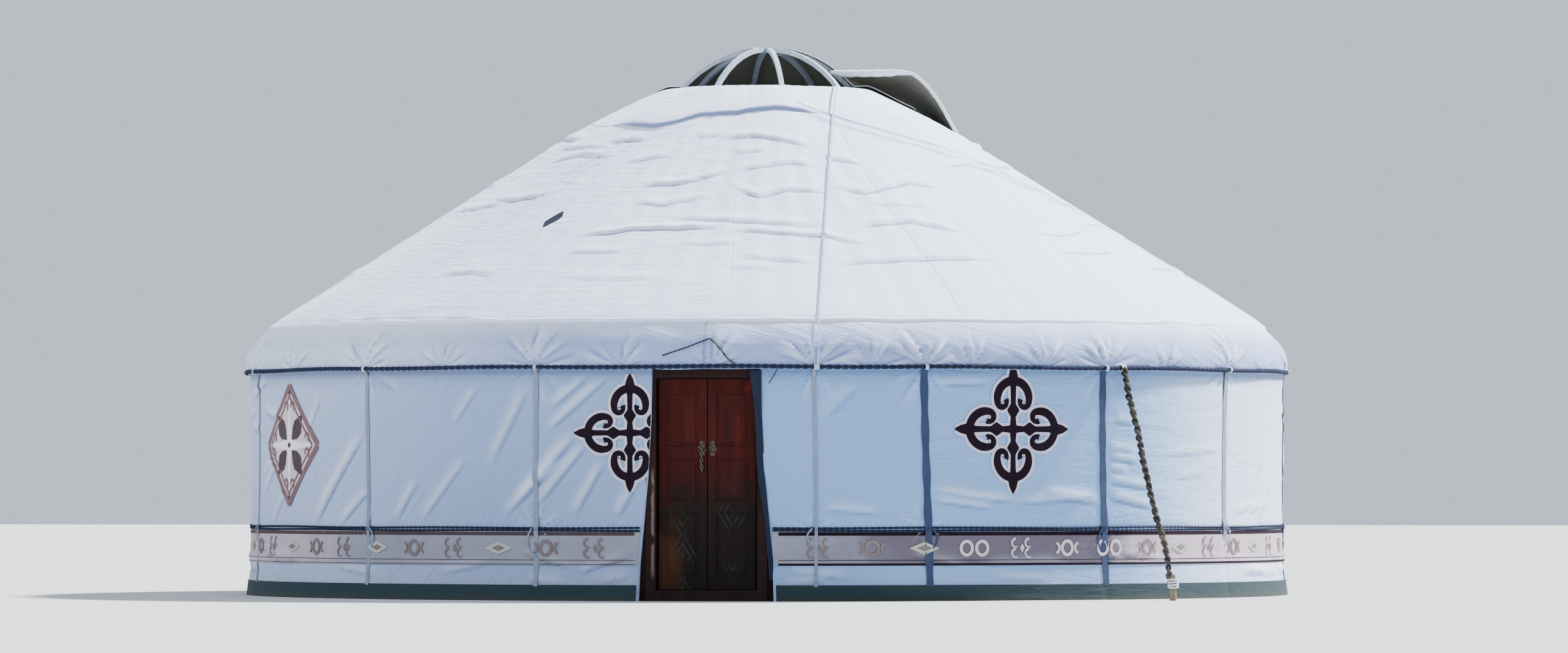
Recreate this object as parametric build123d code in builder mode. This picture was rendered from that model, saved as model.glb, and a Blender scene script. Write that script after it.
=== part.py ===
from build123d import *
import os
from math import asin, atan2, cos, degrees, pi, radians, sin, sqrt, tan

# A round canvas tent of the steppe with a bent-pole roof, an open crown
# and a low double door. Millimetres, ground at z = 0, the door faces -Y.

os.makedirs("parts", exist_ok=True)

# Setting out of the round plan
facets = 72                                  # one roof pole to each facet
facet_angle = 360 / facets
half_facet = facet_angle / 2
door_azimuth = -90
bay_facets = 3                               # facets in one wall bay and in the doorway
bay_angle = bay_facets * facet_angle
half_bay = bay_angle / 2
seat = 0.3                                   # play left between pieces that lie on each other

# Covers
cover = 20                                   # felt with canvas over it
wall_radius = 3580                           # outer face of the wall cover
wall_top = 1575
flap = 64                                    # cover drawn over the edge of the door jambs
flare_height = 300
flare = 28
skirt_height = 120
skirt = 8

# Roof line, outer face of the roof cover, from the hem to the crown
hem_radius = wall_radius + cover + seat
hem_bottom = 1510
hem_top = 1620
shoulder_depth, shoulder_height = 420, 410   # the roof's curve over the eave
shoulder_low = (hem_radius - 50, hem_top + 100)
shoulder_high = (hem_radius - 180, hem_top + 250)
roof_foot = (hem_radius - shoulder_depth, hem_top + shoulder_height)
roof_bend = (1300, 3215)
collar = (705, 3505)
collar_lip = (650, collar[1])
roof_line = [(hem_radius, hem_bottom), (hem_radius, hem_top), shoulder_low,
             shoulder_high, roof_foot, roof_bend, collar, collar_lip]
neck_fall = (collar[1] - roof_bend[1]) / (roof_bend[0] - collar[0])

# Lattice wall
slat_width = 28
slat = 12
lattice_top = 1530
head = 60                                    # slat end beyond the outermost crossing
lattice_steps = 6                            # crossings from the ground to the heads
lattice_radius = ((wall_radius - cover) / cos(radians(half_facet)) - seat) \
    * cos(radians(half_bay))
bay_half_width = lattice_radius * tan(radians(half_bay))
column_pitch = bay_half_width / (bay_facets / 2)
crossing_rise = (lattice_top - 2 * head) / lattice_steps

# Roof poles
pole_width = 36
pole_depth = 32
pole_foot = 1430
pole_play = 10                               # foot kept below the shoulder of the cover

# Crown
ring_inner = collar_lip[0] - 30
ring_outer = collar[0] - 10
ring_depth = 100
ring_edge = 8                                # bevel of the ring's upper edge
ring_top = collar_lip[1] - cover - seat
bar = 30
bar_foot = (ring_inner + collar_lip[0]) / 2
bar_arches = 4
bar_turn = 16.4
bar_sides = 48                               # straight lengths in a full circle of a bar
crown_rise = 295                             # top of the bars above the collar
crown_top = collar[1] + crown_rise

# Door
frame_front = wall_radius - 30               # distance of the frame face from the centre
frame_depth = 95
rebate = 18                                  # set back where the cover laps the jamb
opening_half_width = 335
threshold_height = 70
lintel_bottom = 1460
lintel_top = 1530
door_play = 6
leaf = 36
pin_radius = 9
pin_reach = 20
pin_play = 0.1
stile = 54
rail = 76
panel_recess = 9
field = 5
field_margin = 26
pull_height = 1000

# Ropes
eave_rope = 24
girth_rope = 12
girth_height = 470
tie_width = 14
tie = 6
guy_rope = 26
guy_slant = 1.9                              # lets the slanting rope clear the eave rope
guy_azimuth = door_azimuth + 47.2
peg_azimuth = door_azimuth + 45.9
guy_spread = 620                             # peg's distance from the wall
peg_distance = wall_radius + guy_spread
peg_radius = 24
peg_height = 170
peg_taper = 3


def parallel_line(points, distance):
    """A run of straight lines moved sideways, to its left for a positive distance."""
    points = [Vector(*p) for p in points]
    runs = [(b - a).normalized() for a, b in zip(points, points[1:])]
    sides = [Vector(-d.Y, d.X) for d in runs]
    moved = [points[0] + sides[0] * distance]
    for p, s, t in zip(points[1:-1], sides, sides[1:]):
        moved.append(p + (s + t) * (distance / (1 + s.dot(t))))
    moved.append(points[-1] + sides[-1] * distance)
    return [(p.X, p.Y) for p in moved]


def band(points, near, far):
    """Closed outline of a skin lying between two parallels of one line."""
    return parallel_line(points, near) + parallel_line(points, far)[::-1]


def ring_bay(outline, half_angle):
    """One flat-fronted bay of a round skin, mitred to its neighbours."""
    reach = max(r for r, z in outline)
    with BuildPart() as bay:
        with BuildSketch(Plane.XZ):
            with BuildLine():
                Polyline(*outline, close=True)
            make_face()
        extrude(amount=reach * tan(radians(half_angle)) * 1.1, both=True)
        split(bisect_by=Plane.XZ.rotated((0, 0, half_angle)), keep=Keep.TOP)
        split(bisect_by=Plane.XZ.rotated((0, 0, -half_angle)), keep=Keep.BOTTOM)
    return bay.part


def straight_rib(outline, width):
    """A rib of even width whose side outline stands in the radial plane."""
    with BuildPart() as rib:
        with BuildSketch(Plane.XZ):
            with BuildLine():
                Polyline(*outline, close=True)
            make_face()
        extrude(amount=width / 2, both=True)
    return rib.part


def around(piece, first, count, step=facet_angle):
    """Repeat a piece round the plan, counted in steps from the door axis."""
    with BuildPart() as ring:
        with PolarLocations(0, count, start_angle=door_azimuth + first * step,
                            angular_range=count * step):
            add(piece)
    return ring.part


def save(piece, name):
    piece.label = name
    export_step(piece, f"parts/{name}.step")


# First bay and number of bays of each wall section, counted to the right of the door
section_bay_counts = {
    "front_right": (1, 3),
    "right": (4, 3),
    "back_right": (7, 3),
    "back": (10, 5),
    "back_left": (15, 3),
    "left": (18, 3),
    "front_left": (21, 3),
}

# Wall cover with a flared foot
wall_line = [(wall_radius + flare, 0), (wall_radius, flare_height), (wall_radius, wall_top)]
wall_bay = ring_bay(band(wall_line, 0, cover), half_facet)
cover_corner = (wall_radius - cover) / cos(radians(half_facet))
flap_angle = degrees(asin((cover_corner * sin(radians(half_bay)) - flap) / cover_corner))
with BuildPart() as door_flap:
    add(wall_bay.rotate(Axis.Z, facet_angle))
    split(bisect_by=Plane.XZ.rotated((0, 0, flap_angle)), keep=Keep.BOTTOM)
skirt_top = wall_radius + flare * (1 - skirt_height / flare_height)
skirt_bay = ring_bay(band([(wall_radius + flare, 0), (skirt_top, skirt_height)],
                          -seat, -seat - skirt), half_facet)


def slats(lean, lift):
    """All the slats of one layer of a bay, leaning one way, as a flat drawing."""
    angle = degrees(atan2(crossing_rise, column_pitch))
    foot = head + lift * crossing_rise
    with BuildSketch() as layer:
        spots = [(0, foot + 2 * i * crossing_rise) for i in range(-1, lattice_steps)]
        with Locations(*spots):
            Rectangle(4 * bay_half_width, slat_width, rotation=lean * angle)
        with Locations((0, lattice_top / 2)):
            Rectangle(2.2 * bay_half_width, lattice_top, mode=Mode.INTERSECT)
    return layer.sketch


def lattice_bay(lift):
    """One flat bay of the wall lattice: two layers of slats pinned where they cross."""
    face = Plane(origin=(lattice_radius, 0, 0), x_dir=(0, 1, 0), z_dir=(1, 0, 0))
    with BuildPart() as bay:
        with BuildSketch(face):
            add(slats(1, lift))
        extrude(amount=-slat)
        with BuildSketch(face.offset(-slat)):
            add(slats(-1, lift))
        extrude(amount=-slat)
        for side, keep in ((1, Keep.TOP), (-1, Keep.BOTTOM)):
            edge = Plane.XZ.rotated((0, 0, side * half_bay))
            split(bisect_by=edge.offset(side * seat), keep=keep)
    return bay.part


lattice_bays = [lattice_bay(0), lattice_bay(1)]

for name, (first, count) in section_bay_counts.items():
    with BuildPart() as wall_cover:
        add(around(wall_bay, bay_facets * first - 1, bay_facets * count))
        if name == "front_right":
            add(door_flap.part.rotate(Axis.Z, door_azimuth))
        if name == "front_left":
            add(door_flap.part.mirror(Plane.XZ).rotate(Axis.Z, door_azimuth))
    save(wall_cover.part, f"wall_cover_{name}")
    with BuildPart() as lattice:
        for i in range(first, first + count):
            add(lattice_bays[i % 2].rotate(Axis.Z, door_azimuth + i * bay_angle))
    save(lattice.part, f"lattice_wall_{name}")

save(around(skirt_bay, 2, facets - bay_facets), "base_skirt")

# Roof cover in eight gores, the front one centred on the door
gores = ["front", "front_right", "right", "back_right", "back", "back_left",
         "left", "front_left"]
gore_facets = facets // len(gores)
roof_bay = ring_bay(band(roof_line, 0, cover), half_facet)


def pole(foot_radius, foot_height):
    """A bent roof pole: upright foot, knee under the shoulder, slight bend near the crown."""
    top = parallel_line(roof_line, cover + seat)
    under = parallel_line(roof_line, cover + seat + pole_depth)
    reach = ring_outer + seat
    outline = [(foot_radius, foot_height), (foot_radius, top[2][1] - pole_play), top[3], top[4],
               top[5], top[6], (reach, top[6][1]),
               (reach, under[6][1] + neck_fall * (under[6][0] - reach)),
               under[5], under[4], under[3], (foot_radius - pole_depth, under[2][1]),
               (foot_radius - pole_depth, foot_height)]
    return straight_rib(outline, pole_width)


lattice_inner = lattice_radius - 2 * slat
mid_pole = pole(lattice_inner - seat, pole_foot)
side_pole = pole(lattice_inner / cos(radians(facet_angle)) - seat
                 - pole_width / 2 * tan(radians(facet_angle)), pole_foot)
lintel_pole = pole(lattice_inner - seat, lintel_top + seat)

for i, name in enumerate(gores):
    first = i * gore_facets - gore_facets // 2
    save(around(roof_bay, first, gore_facets), f"roof_cover_{name}")
    with BuildPart() as poles:
        for k in range(first, first + gore_facets):
            if abs(k) <= 1:
                stick = lintel_pole
            else:
                stick = mid_pole if k % bay_facets == 0 else side_pole
            add(stick.rotate(Axis.Z, door_azimuth + k * facet_angle))
    save(poles.part, f"roof_poles_{name}")

# Crown ring and its dome of crossed bent bars
ring_outline = [(ring_inner, ring_top - ring_depth), (ring_outer, ring_top - ring_depth),
                (ring_outer, ring_top - ring_edge), (ring_outer - ring_edge, ring_top),
                (ring_inner, ring_top)]
save(around(ring_bay(ring_outline, half_facet), 0, facets), "crown_ring")

dome_rise = crown_top - ring_top
dome_radius = (bar_foot ** 2 + dome_rise ** 2) / (2 * dome_rise)
dome_centre = crown_top - dome_radius

with BuildPart() as crown_bars:
    for i in range(bar_arches):
        turn = door_azimuth + bar_turn + i * 180 / bar_arches
        with BuildSketch(Plane.XZ.rotated((0, 0, turn))):
            with Locations((0, dome_centre)):
                RegularPolygon(dome_radius, bar_sides)
                RegularPolygon(dome_radius - bar, bar_sides, mode=Mode.SUBTRACT)
            with Locations((0, ring_top + dome_radius / 2)):
                Rectangle(2 * dome_radius, dome_radius, mode=Mode.INTERSECT)
        extrude(amount=bar / 2, both=True)
save(crown_bars.part, "crown_bars")

# Crown cover drawn back over the rear of the dome and down onto the roof
cap = 14
cap_overhang = 330                           # down the roof beyond the crown ring
cap_reach = ring_outer + cap_overhang
cap_lift = 3 * seat                          # its flat bays are twice as wide as the roof's
cap_steps = 4
cap_bay_angle = 2 * facet_angle
cap_first, cap_bays = 10.25, 17
cap_radius = dome_radius + 4
cap_foot = 30
cap_top, cap_rim = 82, degrees(asin((collar[1] + cap_foot - dome_centre) / cap_radius))
cap_line = [(cap_reach, collar[1] - neck_fall * (cap_reach - collar[0]) + cap_lift),
            (collar[0] + seat, collar[1] + cap_lift)]
for i in range(cap_steps + 1):
    rise = radians(cap_rim + (cap_top - cap_rim) * i / cap_steps)
    cap_line.append((cap_radius * cos(rise), dome_centre + cap_radius * sin(rise)))
cap_bay = ring_bay(band(cap_line, 0, -cap), cap_bay_angle / 2)

# The cover's near corner stands up from the roof like a hood, open to the front
hood_front, hood_back = 40, 620
hood_start = collar[0] - 200
hood_rise = dome_centre + sqrt(cap_radius ** 2 - hood_start ** 2) + cap + 2
hood_front_fall = {0: 0, 406: -3, 519: 12, 621: 102, 711: 226, 817: 420, 900: 560}
hood_back_fall = {0: 105, 300: 215, 400: 262, 500: 320, 550: 352, 600: 390, 700: 540}
below_roof = ring_bay([(ring_inner, hem_top), (hem_radius, hem_top)]
                      + parallel_line(roof_line, -2 * seat)[2:], half_facet)
with BuildPart() as crown_cover:
    for depth, falls in ((hood_front, hood_front_fall), (hood_back, hood_back_fall)):
        line = [(hood_start + out, hood_rise - fall) for out, fall in falls.items()]
        with BuildSketch(Plane.XZ.offset(-depth)):
            with BuildLine():
                Polyline(*band(line, 0, -cap), close=True)
            make_face()
    loft(ruled=True)
    add(around(below_roof, 17, 12), mode=Mode.SUBTRACT)
    add(around(cap_bay, cap_first, cap_bays, cap_bay_angle))
save(crown_cover.part, "crown_cover")

# Door frame, wedged between the ends of the wall
side_slope = tan(radians(half_bay))
frame_back = frame_front - frame_depth


def frame_edge(distance):
    return distance * side_slope - 2 * seat


axis_x = opening_half_width - door_play - leaf / 2
axis_y = -(frame_back + leaf / 2)
leaf_bottom = threshold_height + door_play
leaf_top = lintel_bottom - door_play

lap = frame_front - rebate                   # face that the wall cover's edge lies on
step = cover_corner * sin(radians(flap_angle)) - seat

with BuildPart() as jamb:
    with BuildSketch():
        with BuildLine():
            Polyline((opening_half_width, -frame_front), (step, -frame_front), (step, -lap),
                     (frame_edge(lap), -lap), (frame_edge(frame_back), -frame_back),
                     (opening_half_width, -frame_back), close=True)
        make_face()
    extrude(amount=lintel_bottom)
save(jamb.part, "door_jamb_right")
save(jamb.part.mirror(Plane.YZ), "door_jamb_left")

with BuildPart() as lintel:
    with BuildSketch(Plane.XY.offset(lintel_bottom)):
        with BuildLine():
            Polyline((-step, -frame_front), (step, -frame_front), (step, -lap),
                     (frame_edge(lap), -lap), (frame_edge(frame_back), -frame_back),
                     (-frame_edge(frame_back), -frame_back), (-frame_edge(lap), -lap),
                     (-step, -lap), close=True)
        make_face()
    extrude(amount=lintel_top - lintel_bottom)
    with Locations((axis_x, axis_y, lintel_bottom), (-axis_x, axis_y, lintel_bottom)):
        Hole(pin_radius + pin_play, depth=pin_reach + door_play)
save(lintel.part, "door_lintel")

with BuildPart() as threshold:
    with Locations((0, -(frame_front + frame_back) / 2, 0)):
        Box(2 * opening_half_width, frame_depth, threshold_height,
            align=(Align.CENTER, Align.CENTER, Align.MIN))
    with Locations((axis_x, axis_y, threshold_height), (-axis_x, axis_y, threshold_height)):
        Hole(pin_radius + pin_play, depth=pin_reach + door_play)
save(threshold.part, "door_threshold")

# Right door leaf: rounded pivot edge, sunk panels with raised fields, pivot pins
leaf_edge = door_play / 2
panel_width = axis_x + leaf / 2 - leaf_edge - 2 * stile
panel_centre = leaf_edge + stile + panel_width / 2
panel_low, panel_mid = 430, 280
panel_high = leaf_top - leaf_bottom - 4 * rail - panel_low - panel_mid
panel_rows = [(leaf_bottom + rail, panel_low),
              (leaf_bottom + 2 * rail + panel_low, panel_mid),
              (leaf_top - rail - panel_high, panel_high)]
with BuildPart() as door_leaf:
    with BuildSketch(Plane.XY.offset(leaf_bottom)):
        with Locations(((axis_x + leaf_edge) / 2, axis_y)):
            Rectangle(axis_x - leaf_edge, leaf)
        with Locations((axis_x, axis_y)):
            Circle(leaf / 2)
    extrude(amount=leaf_top - leaf_bottom)
    for low, height in panel_rows:
        for side in (-1, 1):
            face = axis_y + side * leaf / 2
            with Locations((panel_centre, face, low + height / 2)):
                Box(panel_width, 2 * panel_recess, height, mode=Mode.SUBTRACT)
            with Locations((panel_centre, face - side * panel_recess, low + height / 2)):
                Box(panel_width - 2 * field_margin, 2 * field, height - 2 * field_margin)
    with Locations((axis_x, axis_y, leaf_bottom - pin_reach),
                   (axis_x, axis_y, leaf_top)):
        Cylinder(pin_radius, pin_reach, align=(Align.CENTER, Align.CENTER, Align.MIN))
save(door_leaf.part, "door_leaf_right")
save(door_leaf.part.mirror(Plane.YZ), "door_leaf_left")

# Ring pull on its plate, on the meeting stile of each leaf
plate_width, plate_height, plate = 34, 96, 4
pull_radius, pull_wire, pull_sides = 28, 6, 14
staple_radius, staple_lift = 9, 22
pull_x = leaf_edge + stile / 2 + 4
pull_face = Plane(origin=(pull_x, axis_y - leaf / 2, pull_height), x_dir=(1, 0, 0), z_dir=(0, -1, 0))
with BuildPart() as pull:
    with BuildSketch(pull_face):
        Rectangle(plate_width, plate_height)
    extrude(amount=plate)
    with BuildSketch(pull_face):
        with Locations((0, staple_lift)):
            RegularPolygon(staple_radius, 8)
    extrude(amount=plate + pull_wire + seat)
    with BuildSketch(pull_face.offset(plate + seat)):
        with Locations((0, staple_lift - pull_radius + pull_wire / 2)):
            RegularPolygon(pull_radius, pull_sides)
            RegularPolygon(pull_radius - pull_wire, pull_sides, mode=Mode.SUBTRACT)
    extrude(amount=pull_wire)
save(pull.part, "door_pull_right")
save(pull.part.mirror(Plane.YZ), "door_pull_left")

# Ropes round the eave and round the wall

def rope_outline(diameter, radius, height, sides):
    """Few-sided section of a rope with one flat against a face, in the radial plane."""
    turn = pi / sides
    out = diameter / 2 / cos(turn)
    return [(radius + diameter / 2 + out * cos((2 * i + 1) * turn),
             height + out * sin((2 * i + 1) * turn)) for i in range(sides)]


eave_height = hem_bottom + 25
save(around(ring_bay(rope_outline(eave_rope, hem_radius + seat, eave_height, 6), half_facet),
            0, facets), "eave_rope")
save(around(ring_bay(rope_outline(girth_rope, wall_radius + 2 * seat + tie, girth_height, 4),
                     half_facet), 2, facets - bay_facets), "girth_rope")

# Flat ties laid on the covers along straight lines of the plan

def tape(bay, start, end):
    """The strip of a skin that stands over one line of the plan, from start to end."""
    first = round((min(start[1], end[1]) - half_facet) / facet_angle)
    last = round((max(start[1], end[1]) + half_facet) / facet_angle)
    foot, top = [Vector(distance, 0, 0).rotate(Axis.Z, door_azimuth + turn)
                 for distance, turn in (start, end)]
    with BuildPart() as strip:
        add(around(bay, first, last - first + 1))
        with BuildSketch(Plane(origin=(foot + top) / 2, x_dir=top - foot, z_dir=(0, 0, 1))):
            Rectangle((top - foot).length, tie_width)
        extrude(amount=crown_top, mode=Mode.INTERSECT)
    return strip.part


tie_top = hem_bottom - seat
wall_skin = ring_bay([(wall_radius + seat, flare_height), (wall_radius + seat + tie, flare_height),
                      (wall_radius + seat + tie, tie_top), (wall_radius + seat, tie_top)], half_facet)
tie_azimuths = [11.4, 23.2, 44.9, 66.1, 90, 115, 140, 165, -170, -145, -120, -95, -70, -41.7, -18.6]
with BuildPart() as wall_ties:
    for turn in tie_azimuths:
        add(tape(wall_skin, (wall_radius - skirt, turn), (hem_radius + cover, turn)))
save(wall_ties.part, "wall_ties")

# Ties down the roof to the eave rope: two from the crown cover's edge, and a long one
# that runs from the crown down the front, a little across the slope
roof_tie_foot = eave_height + eave_rope / 2 + 2 * seat
long_tie_foot, long_tie_head = (hem_radius + cover, 11.4), (collar[0] + 75, 48)
back_ties = [-110, 150]
roof_skin = ring_bay(band([(hem_radius, roof_tie_foot)] + roof_line[1:-1], -seat, -seat - tie),
                     half_facet)
with BuildPart() as roof_ties:
    add(tape(roof_skin, long_tie_foot, long_tie_head))
    for turn in back_ties:
        add(tape(roof_skin, (hem_radius + cover, turn), (cap_reach + 2 * tie, turn)))
save(roof_ties.part, "roof_ties")

# Guy rope from the eave rope to a peg, with a loop round the peg
guy_top = Vector(hem_radius + 2 * seat + eave_rope + guy_rope / 2 + guy_slant, 0, eave_height).rotate(
    Axis.Z, guy_azimuth)
peg_foot = Vector(peg_distance, 0, 0).rotate(Axis.Z, peg_azimuth)
loop_height = 0.6 * peg_height               # the guy's loop sits here on the peg
with BuildPart() as peg:
    with BuildSketch(Plane(origin=peg_foot, x_dir=(1, 0, 0), z_dir=(0, 0, 1))):
        RegularPolygon(peg_radius, 8)
    extrude(amount=peg_height, taper=peg_taper)
save(peg.part, "guy_peg")

loop_inner = peg_radius - loop_height * tan(radians(peg_taper)) + seat
loop_centre = peg_foot + Vector(0, 0, loop_height)
guy_foot = loop_centre + Vector(-loop_inner - guy_rope / 2, 0, guy_rope / 2).rotate(
    Axis.Z, peg_azimuth)
guy_run = guy_foot - guy_top
with BuildPart() as guy:
    with BuildSketch(Plane(origin=guy_top, z_dir=guy_run.normalized())):
        RegularPolygon(guy_rope / 2, 6)
    extrude(amount=guy_run.length)
    with BuildSketch(Plane(origin=loop_centre, x_dir=(1, 0, 0), z_dir=(0, 0, 1))):
        RegularPolygon(loop_inner + guy_rope, 8)
        RegularPolygon(loop_inner, 8, mode=Mode.SUBTRACT)
    extrude(amount=guy_rope)
save(guy.part, "guy_rope")
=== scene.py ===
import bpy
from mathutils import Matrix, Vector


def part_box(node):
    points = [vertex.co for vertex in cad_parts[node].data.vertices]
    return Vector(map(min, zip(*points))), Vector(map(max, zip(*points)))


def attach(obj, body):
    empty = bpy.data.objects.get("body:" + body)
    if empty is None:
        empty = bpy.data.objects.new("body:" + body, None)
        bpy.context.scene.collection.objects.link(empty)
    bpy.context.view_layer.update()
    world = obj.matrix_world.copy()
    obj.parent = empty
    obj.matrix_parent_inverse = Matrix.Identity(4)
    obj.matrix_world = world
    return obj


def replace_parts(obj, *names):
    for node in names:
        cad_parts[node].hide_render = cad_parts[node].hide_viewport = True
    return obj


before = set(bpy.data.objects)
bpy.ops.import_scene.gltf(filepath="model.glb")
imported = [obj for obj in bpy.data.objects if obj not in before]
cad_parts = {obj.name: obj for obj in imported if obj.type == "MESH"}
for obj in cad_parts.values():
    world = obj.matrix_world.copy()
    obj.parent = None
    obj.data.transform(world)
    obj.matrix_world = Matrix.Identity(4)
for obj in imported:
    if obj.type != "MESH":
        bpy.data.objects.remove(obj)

"""Looks of a white canvas yurt: cloth, ornaments, ropes, lattice, crown and door.

Lengths are metres. A plan angle is counted in degrees from the door axis,
positive to the right of someone who looks at the door.
"""

import logging
import math
from dataclasses import dataclass, field
from enum import Enum
from functools import cache

import bpy
import numpy as np
from mathutils import Vector

log = logging.getLogger("yurt")
Color = tuple[float, float, float]
Piece = bpy.types.Object
Node = bpy.types.Node
Tree = bpy.types.NodeTree
Array = np.ndarray
Mesh = tuple[np.ndarray, list]
Socket = bpy.types.NodeSocket
Value = float | bpy.types.NodeSocket

ROOT = "yurt"
WALL_RADIUS = 3.580
WALL_TOP = 1.575
FLARE, FLARE_HEIGHT = 0.028, 0.300
EAVE, EAVE_RADIUS = 1.535, 3.6126
GIRTH = 0.470
FELT_DEPTH = 0.0185
FULL_TURN = 6.283
POLES = 72
BAY = 15
THIN_TIE, SHORT_TIE = 11.4, 66.1
TIES = (11.4, 23.2, 44.9, 66.1, 90.0, 115.0, 140.0, 165.0, -170.0, -145.0, -120.0, -95.0, -70.0, -41.7,
        -18.6)
DOOR_EDGE = ((0.0, 7.11), (0.25, 7.00), (0.5, 6.60), (0.8, 6.15), (1.2, 5.80), (1.6, 5.69))

# Mean radii that turn plan angles into lengths of cloth or cord
ARC_RADIUS = 3.6
ROOF_RADIUS = 2.4


class Motif(Enum):
    """Figures of the running band."""

    RING = "ring"
    PAIR = "pair"
    LENS = "lens"
    HOOK = "hook"


class Layer(Enum):
    """How far a piece lies off the cloth under it, in metres."""

    BAND = 0.0042
    EDGING = 0.0040
    FIGURE = 0.0056


# Geometry helpers

def spread(*parts: Array) -> Array:
    """Arrays of different shapes, stacked on a last axis."""
    return np.stack(np.broadcast_arrays(*parts), -1)


def bell(x: Array, middle: float, width: float) -> Array:
    """A bell curve with a height of 1 at its middle."""
    return np.exp(-((x - middle) / width) ** 2)


def unit(vectors: Array) -> Array:
    """Vectors brought to a length of 1."""
    return vectors / (np.linalg.norm(vectors, axis=-1, keepdims=True) + 1e-12)


def arc_angle(distance: Array) -> Array:
    """Plan angle that a distance along the eave or the wall spans."""
    return np.degrees(distance / ARC_RADIUS)


def run_along(path: Array) -> Array:
    """Lengths along a path at each of its points."""
    return np.concatenate([[0], np.cumsum(np.linalg.norm(np.diff(path, axis=0), axis=1))])


def around(theta: Array, radius: Array, z: Array) -> Array:
    """Points from plan angles, radii and heights.

    Args:
        theta: plan angles in degrees from the door axis.
        radius: distances from the centre.
        z: heights above the ground.

    Returns:
        An array of points with a last axis of three.
    """
    t = np.radians(theta)
    return spread(radius * np.sin(t), -radius * np.cos(t), z)


def smooth(x: Array, low: float, high: float) -> Array:
    """A soft step from 0 at low to 1 at high.

    Args:
        x: values to map.
        low: where the step begins.
        high: where the step ends.

    Returns:
        The stepped values.
    """
    t = np.clip((x - low) / (high - low), 0, 1)
    return t * t * (3 - 2 * t)


def make_object(name: str, points: Array, faces: list, body: str, slot: str, uv: Array | None,
                materials: list, soft: bool = True) -> Piece:
    """Makes a mesh piece and lets it ride on a body.

    Args:
        name: the piece's name.
        points: its vertices.
        faces: its faces, as lists of vertex numbers.
        body: the CAD body it moves with.
        slot: not used.
        uv: one flat coordinate in metres to each vertex.
        materials: its materials in order.
        soft: whether its faces are shaded smooth.

    Returns:
        The new object.
    """
    mesh = bpy.data.meshes.new(name)
    mesh.from_pydata(np.asarray(points, float).reshape(-1, 3).tolist(), [], faces)
    if uv is not None:
        layer = mesh.uv_layers.new(name="metres")
        loops = np.empty(len(mesh.loops), np.int32)
        mesh.loops.foreach_get("vertex_index", loops)
        layer.data.foreach_set("uv", np.asarray(uv, np.float32).reshape(-1, 2)[loops].ravel())
    for material in materials:
        mesh.materials.append(material)
    mesh.polygons.foreach_set("use_smooth", [soft] * len(mesh.polygons))
    mesh.update()
    obj = bpy.data.objects.new(name, mesh)
    bpy.context.scene.collection.objects.link(obj)
    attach(obj, body)
    return obj


def grid_faces(rows: int, columns: int, start: int = 0, wrap: bool = False) -> list:
    """Quads of a grid whose vertices run along its columns first.

    Args:
        rows: number of vertex rows.
        columns: number of vertices in a row.
        start: number of the first vertex.
        wrap: whether the last column joins the first.

    Returns:
        A list of quads.
    """
    last = columns if wrap else columns - 1
    return [(start + r * columns + c, start + r * columns + (c + 1) % columns,
             start + (r + 1) * columns + (c + 1) % columns, start + (r + 1) * columns + c)
            for r in range(rows - 1) for c in range(last)]


def solidify(obj: Piece, thickness: float) -> None:
    """Gives a sheet its thickness away from its normals, and its second material on that side.

    Args:
        obj: the sheet.
        thickness: the cloth's thickness.
    """
    mod = obj.modifiers.new("cloth", "SOLIDIFY")
    mod.thickness = thickness
    mod.offset = -1
    mod.material_offset = 1
    mod.use_rim = True


def path_frame(path: Array, closed: bool) -> tuple[Array, Array]:
    """Two directions square to a path at each of its points.

    Args:
        path: points along the path.
        closed: whether the path is a loop.

    Returns:
        The directions to the side and to the top.
    """
    if closed:
        along = unit(np.roll(path, -1, 0) - np.roll(path, 1, 0))
    else:
        along = unit(np.gradient(path, axis=0))
    up = np.where(np.abs(along[:, 2:3]) > 0.9, [[1.0, 0, 0]], [[0, 0, 1.0]])
    side = unit(np.cross(along, up))
    return side, np.cross(side, along)


def tube(path: Array, radius: Array, sides: int, closed: bool = False) -> Mesh:
    """Vertices and faces of a round bar along a path.

    Args:
        path: points along its middle.
        radius: one radius, or one to each point.
        sides: number of sides.
        closed: whether the path is a loop.

    Returns:
        The vertices and the faces.
    """
    path = np.asarray(path, float)
    n = len(path)
    radius = np.broadcast_to(np.asarray(radius, float), (n,))
    side, top = path_frame(path, closed)
    a = (np.arange(sides) * 2 * math.pi / sides)[:, None]
    ring = path[:, None] + radius[:, None, None] * (np.cos(a) * side[:, None] + np.sin(a) * top[:, None])
    points = ring.reshape(-1, 3)
    faces = grid_faces(n, sides, wrap=True)
    if closed:
        base = (n - 1) * sides
        faces += [(base + s, base + (s + 1) % sides, (s + 1) % sides, s) for s in range(sides)]
    else:
        faces.append(tuple(range(sides))[::-1])
        faces.append(tuple(range((n - 1) * sides, n * sides)))
    return points, faces


def merged(parts: list[Mesh]) -> Mesh:
    """Joins several vertex and face lists into one.

    Args:
        parts: pairs of vertices and faces.

    Returns:
        One pair of vertices and faces.
    """
    points, faces, base = [], [], 0
    for p, f in parts:
        points.append(np.asarray(p, float).reshape(-1, 3))
        faces += [tuple(i + base for i in face) for face in f]
        base += len(points[-1])
    return np.concatenate(points), faces


def joined(name: str, parts: list[Mesh], slot: str, finish: bpy.types.Material, soft: bool = True,
           body: str = ROOT) -> Piece:
    """Makes one piece of several vertex and face lists.

    Args:
        name: the piece's name.
        parts: pairs of vertices and faces.
        slot: handed on to make_object.
        finish: its material.
        soft: whether its faces are shaded smooth.
        body: the CAD body it moves with.

    Returns:
        The piece.
    """
    points, faces = merged(parts)
    return make_object(name, points, faces, body, slot, None, [finish], soft)


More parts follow.
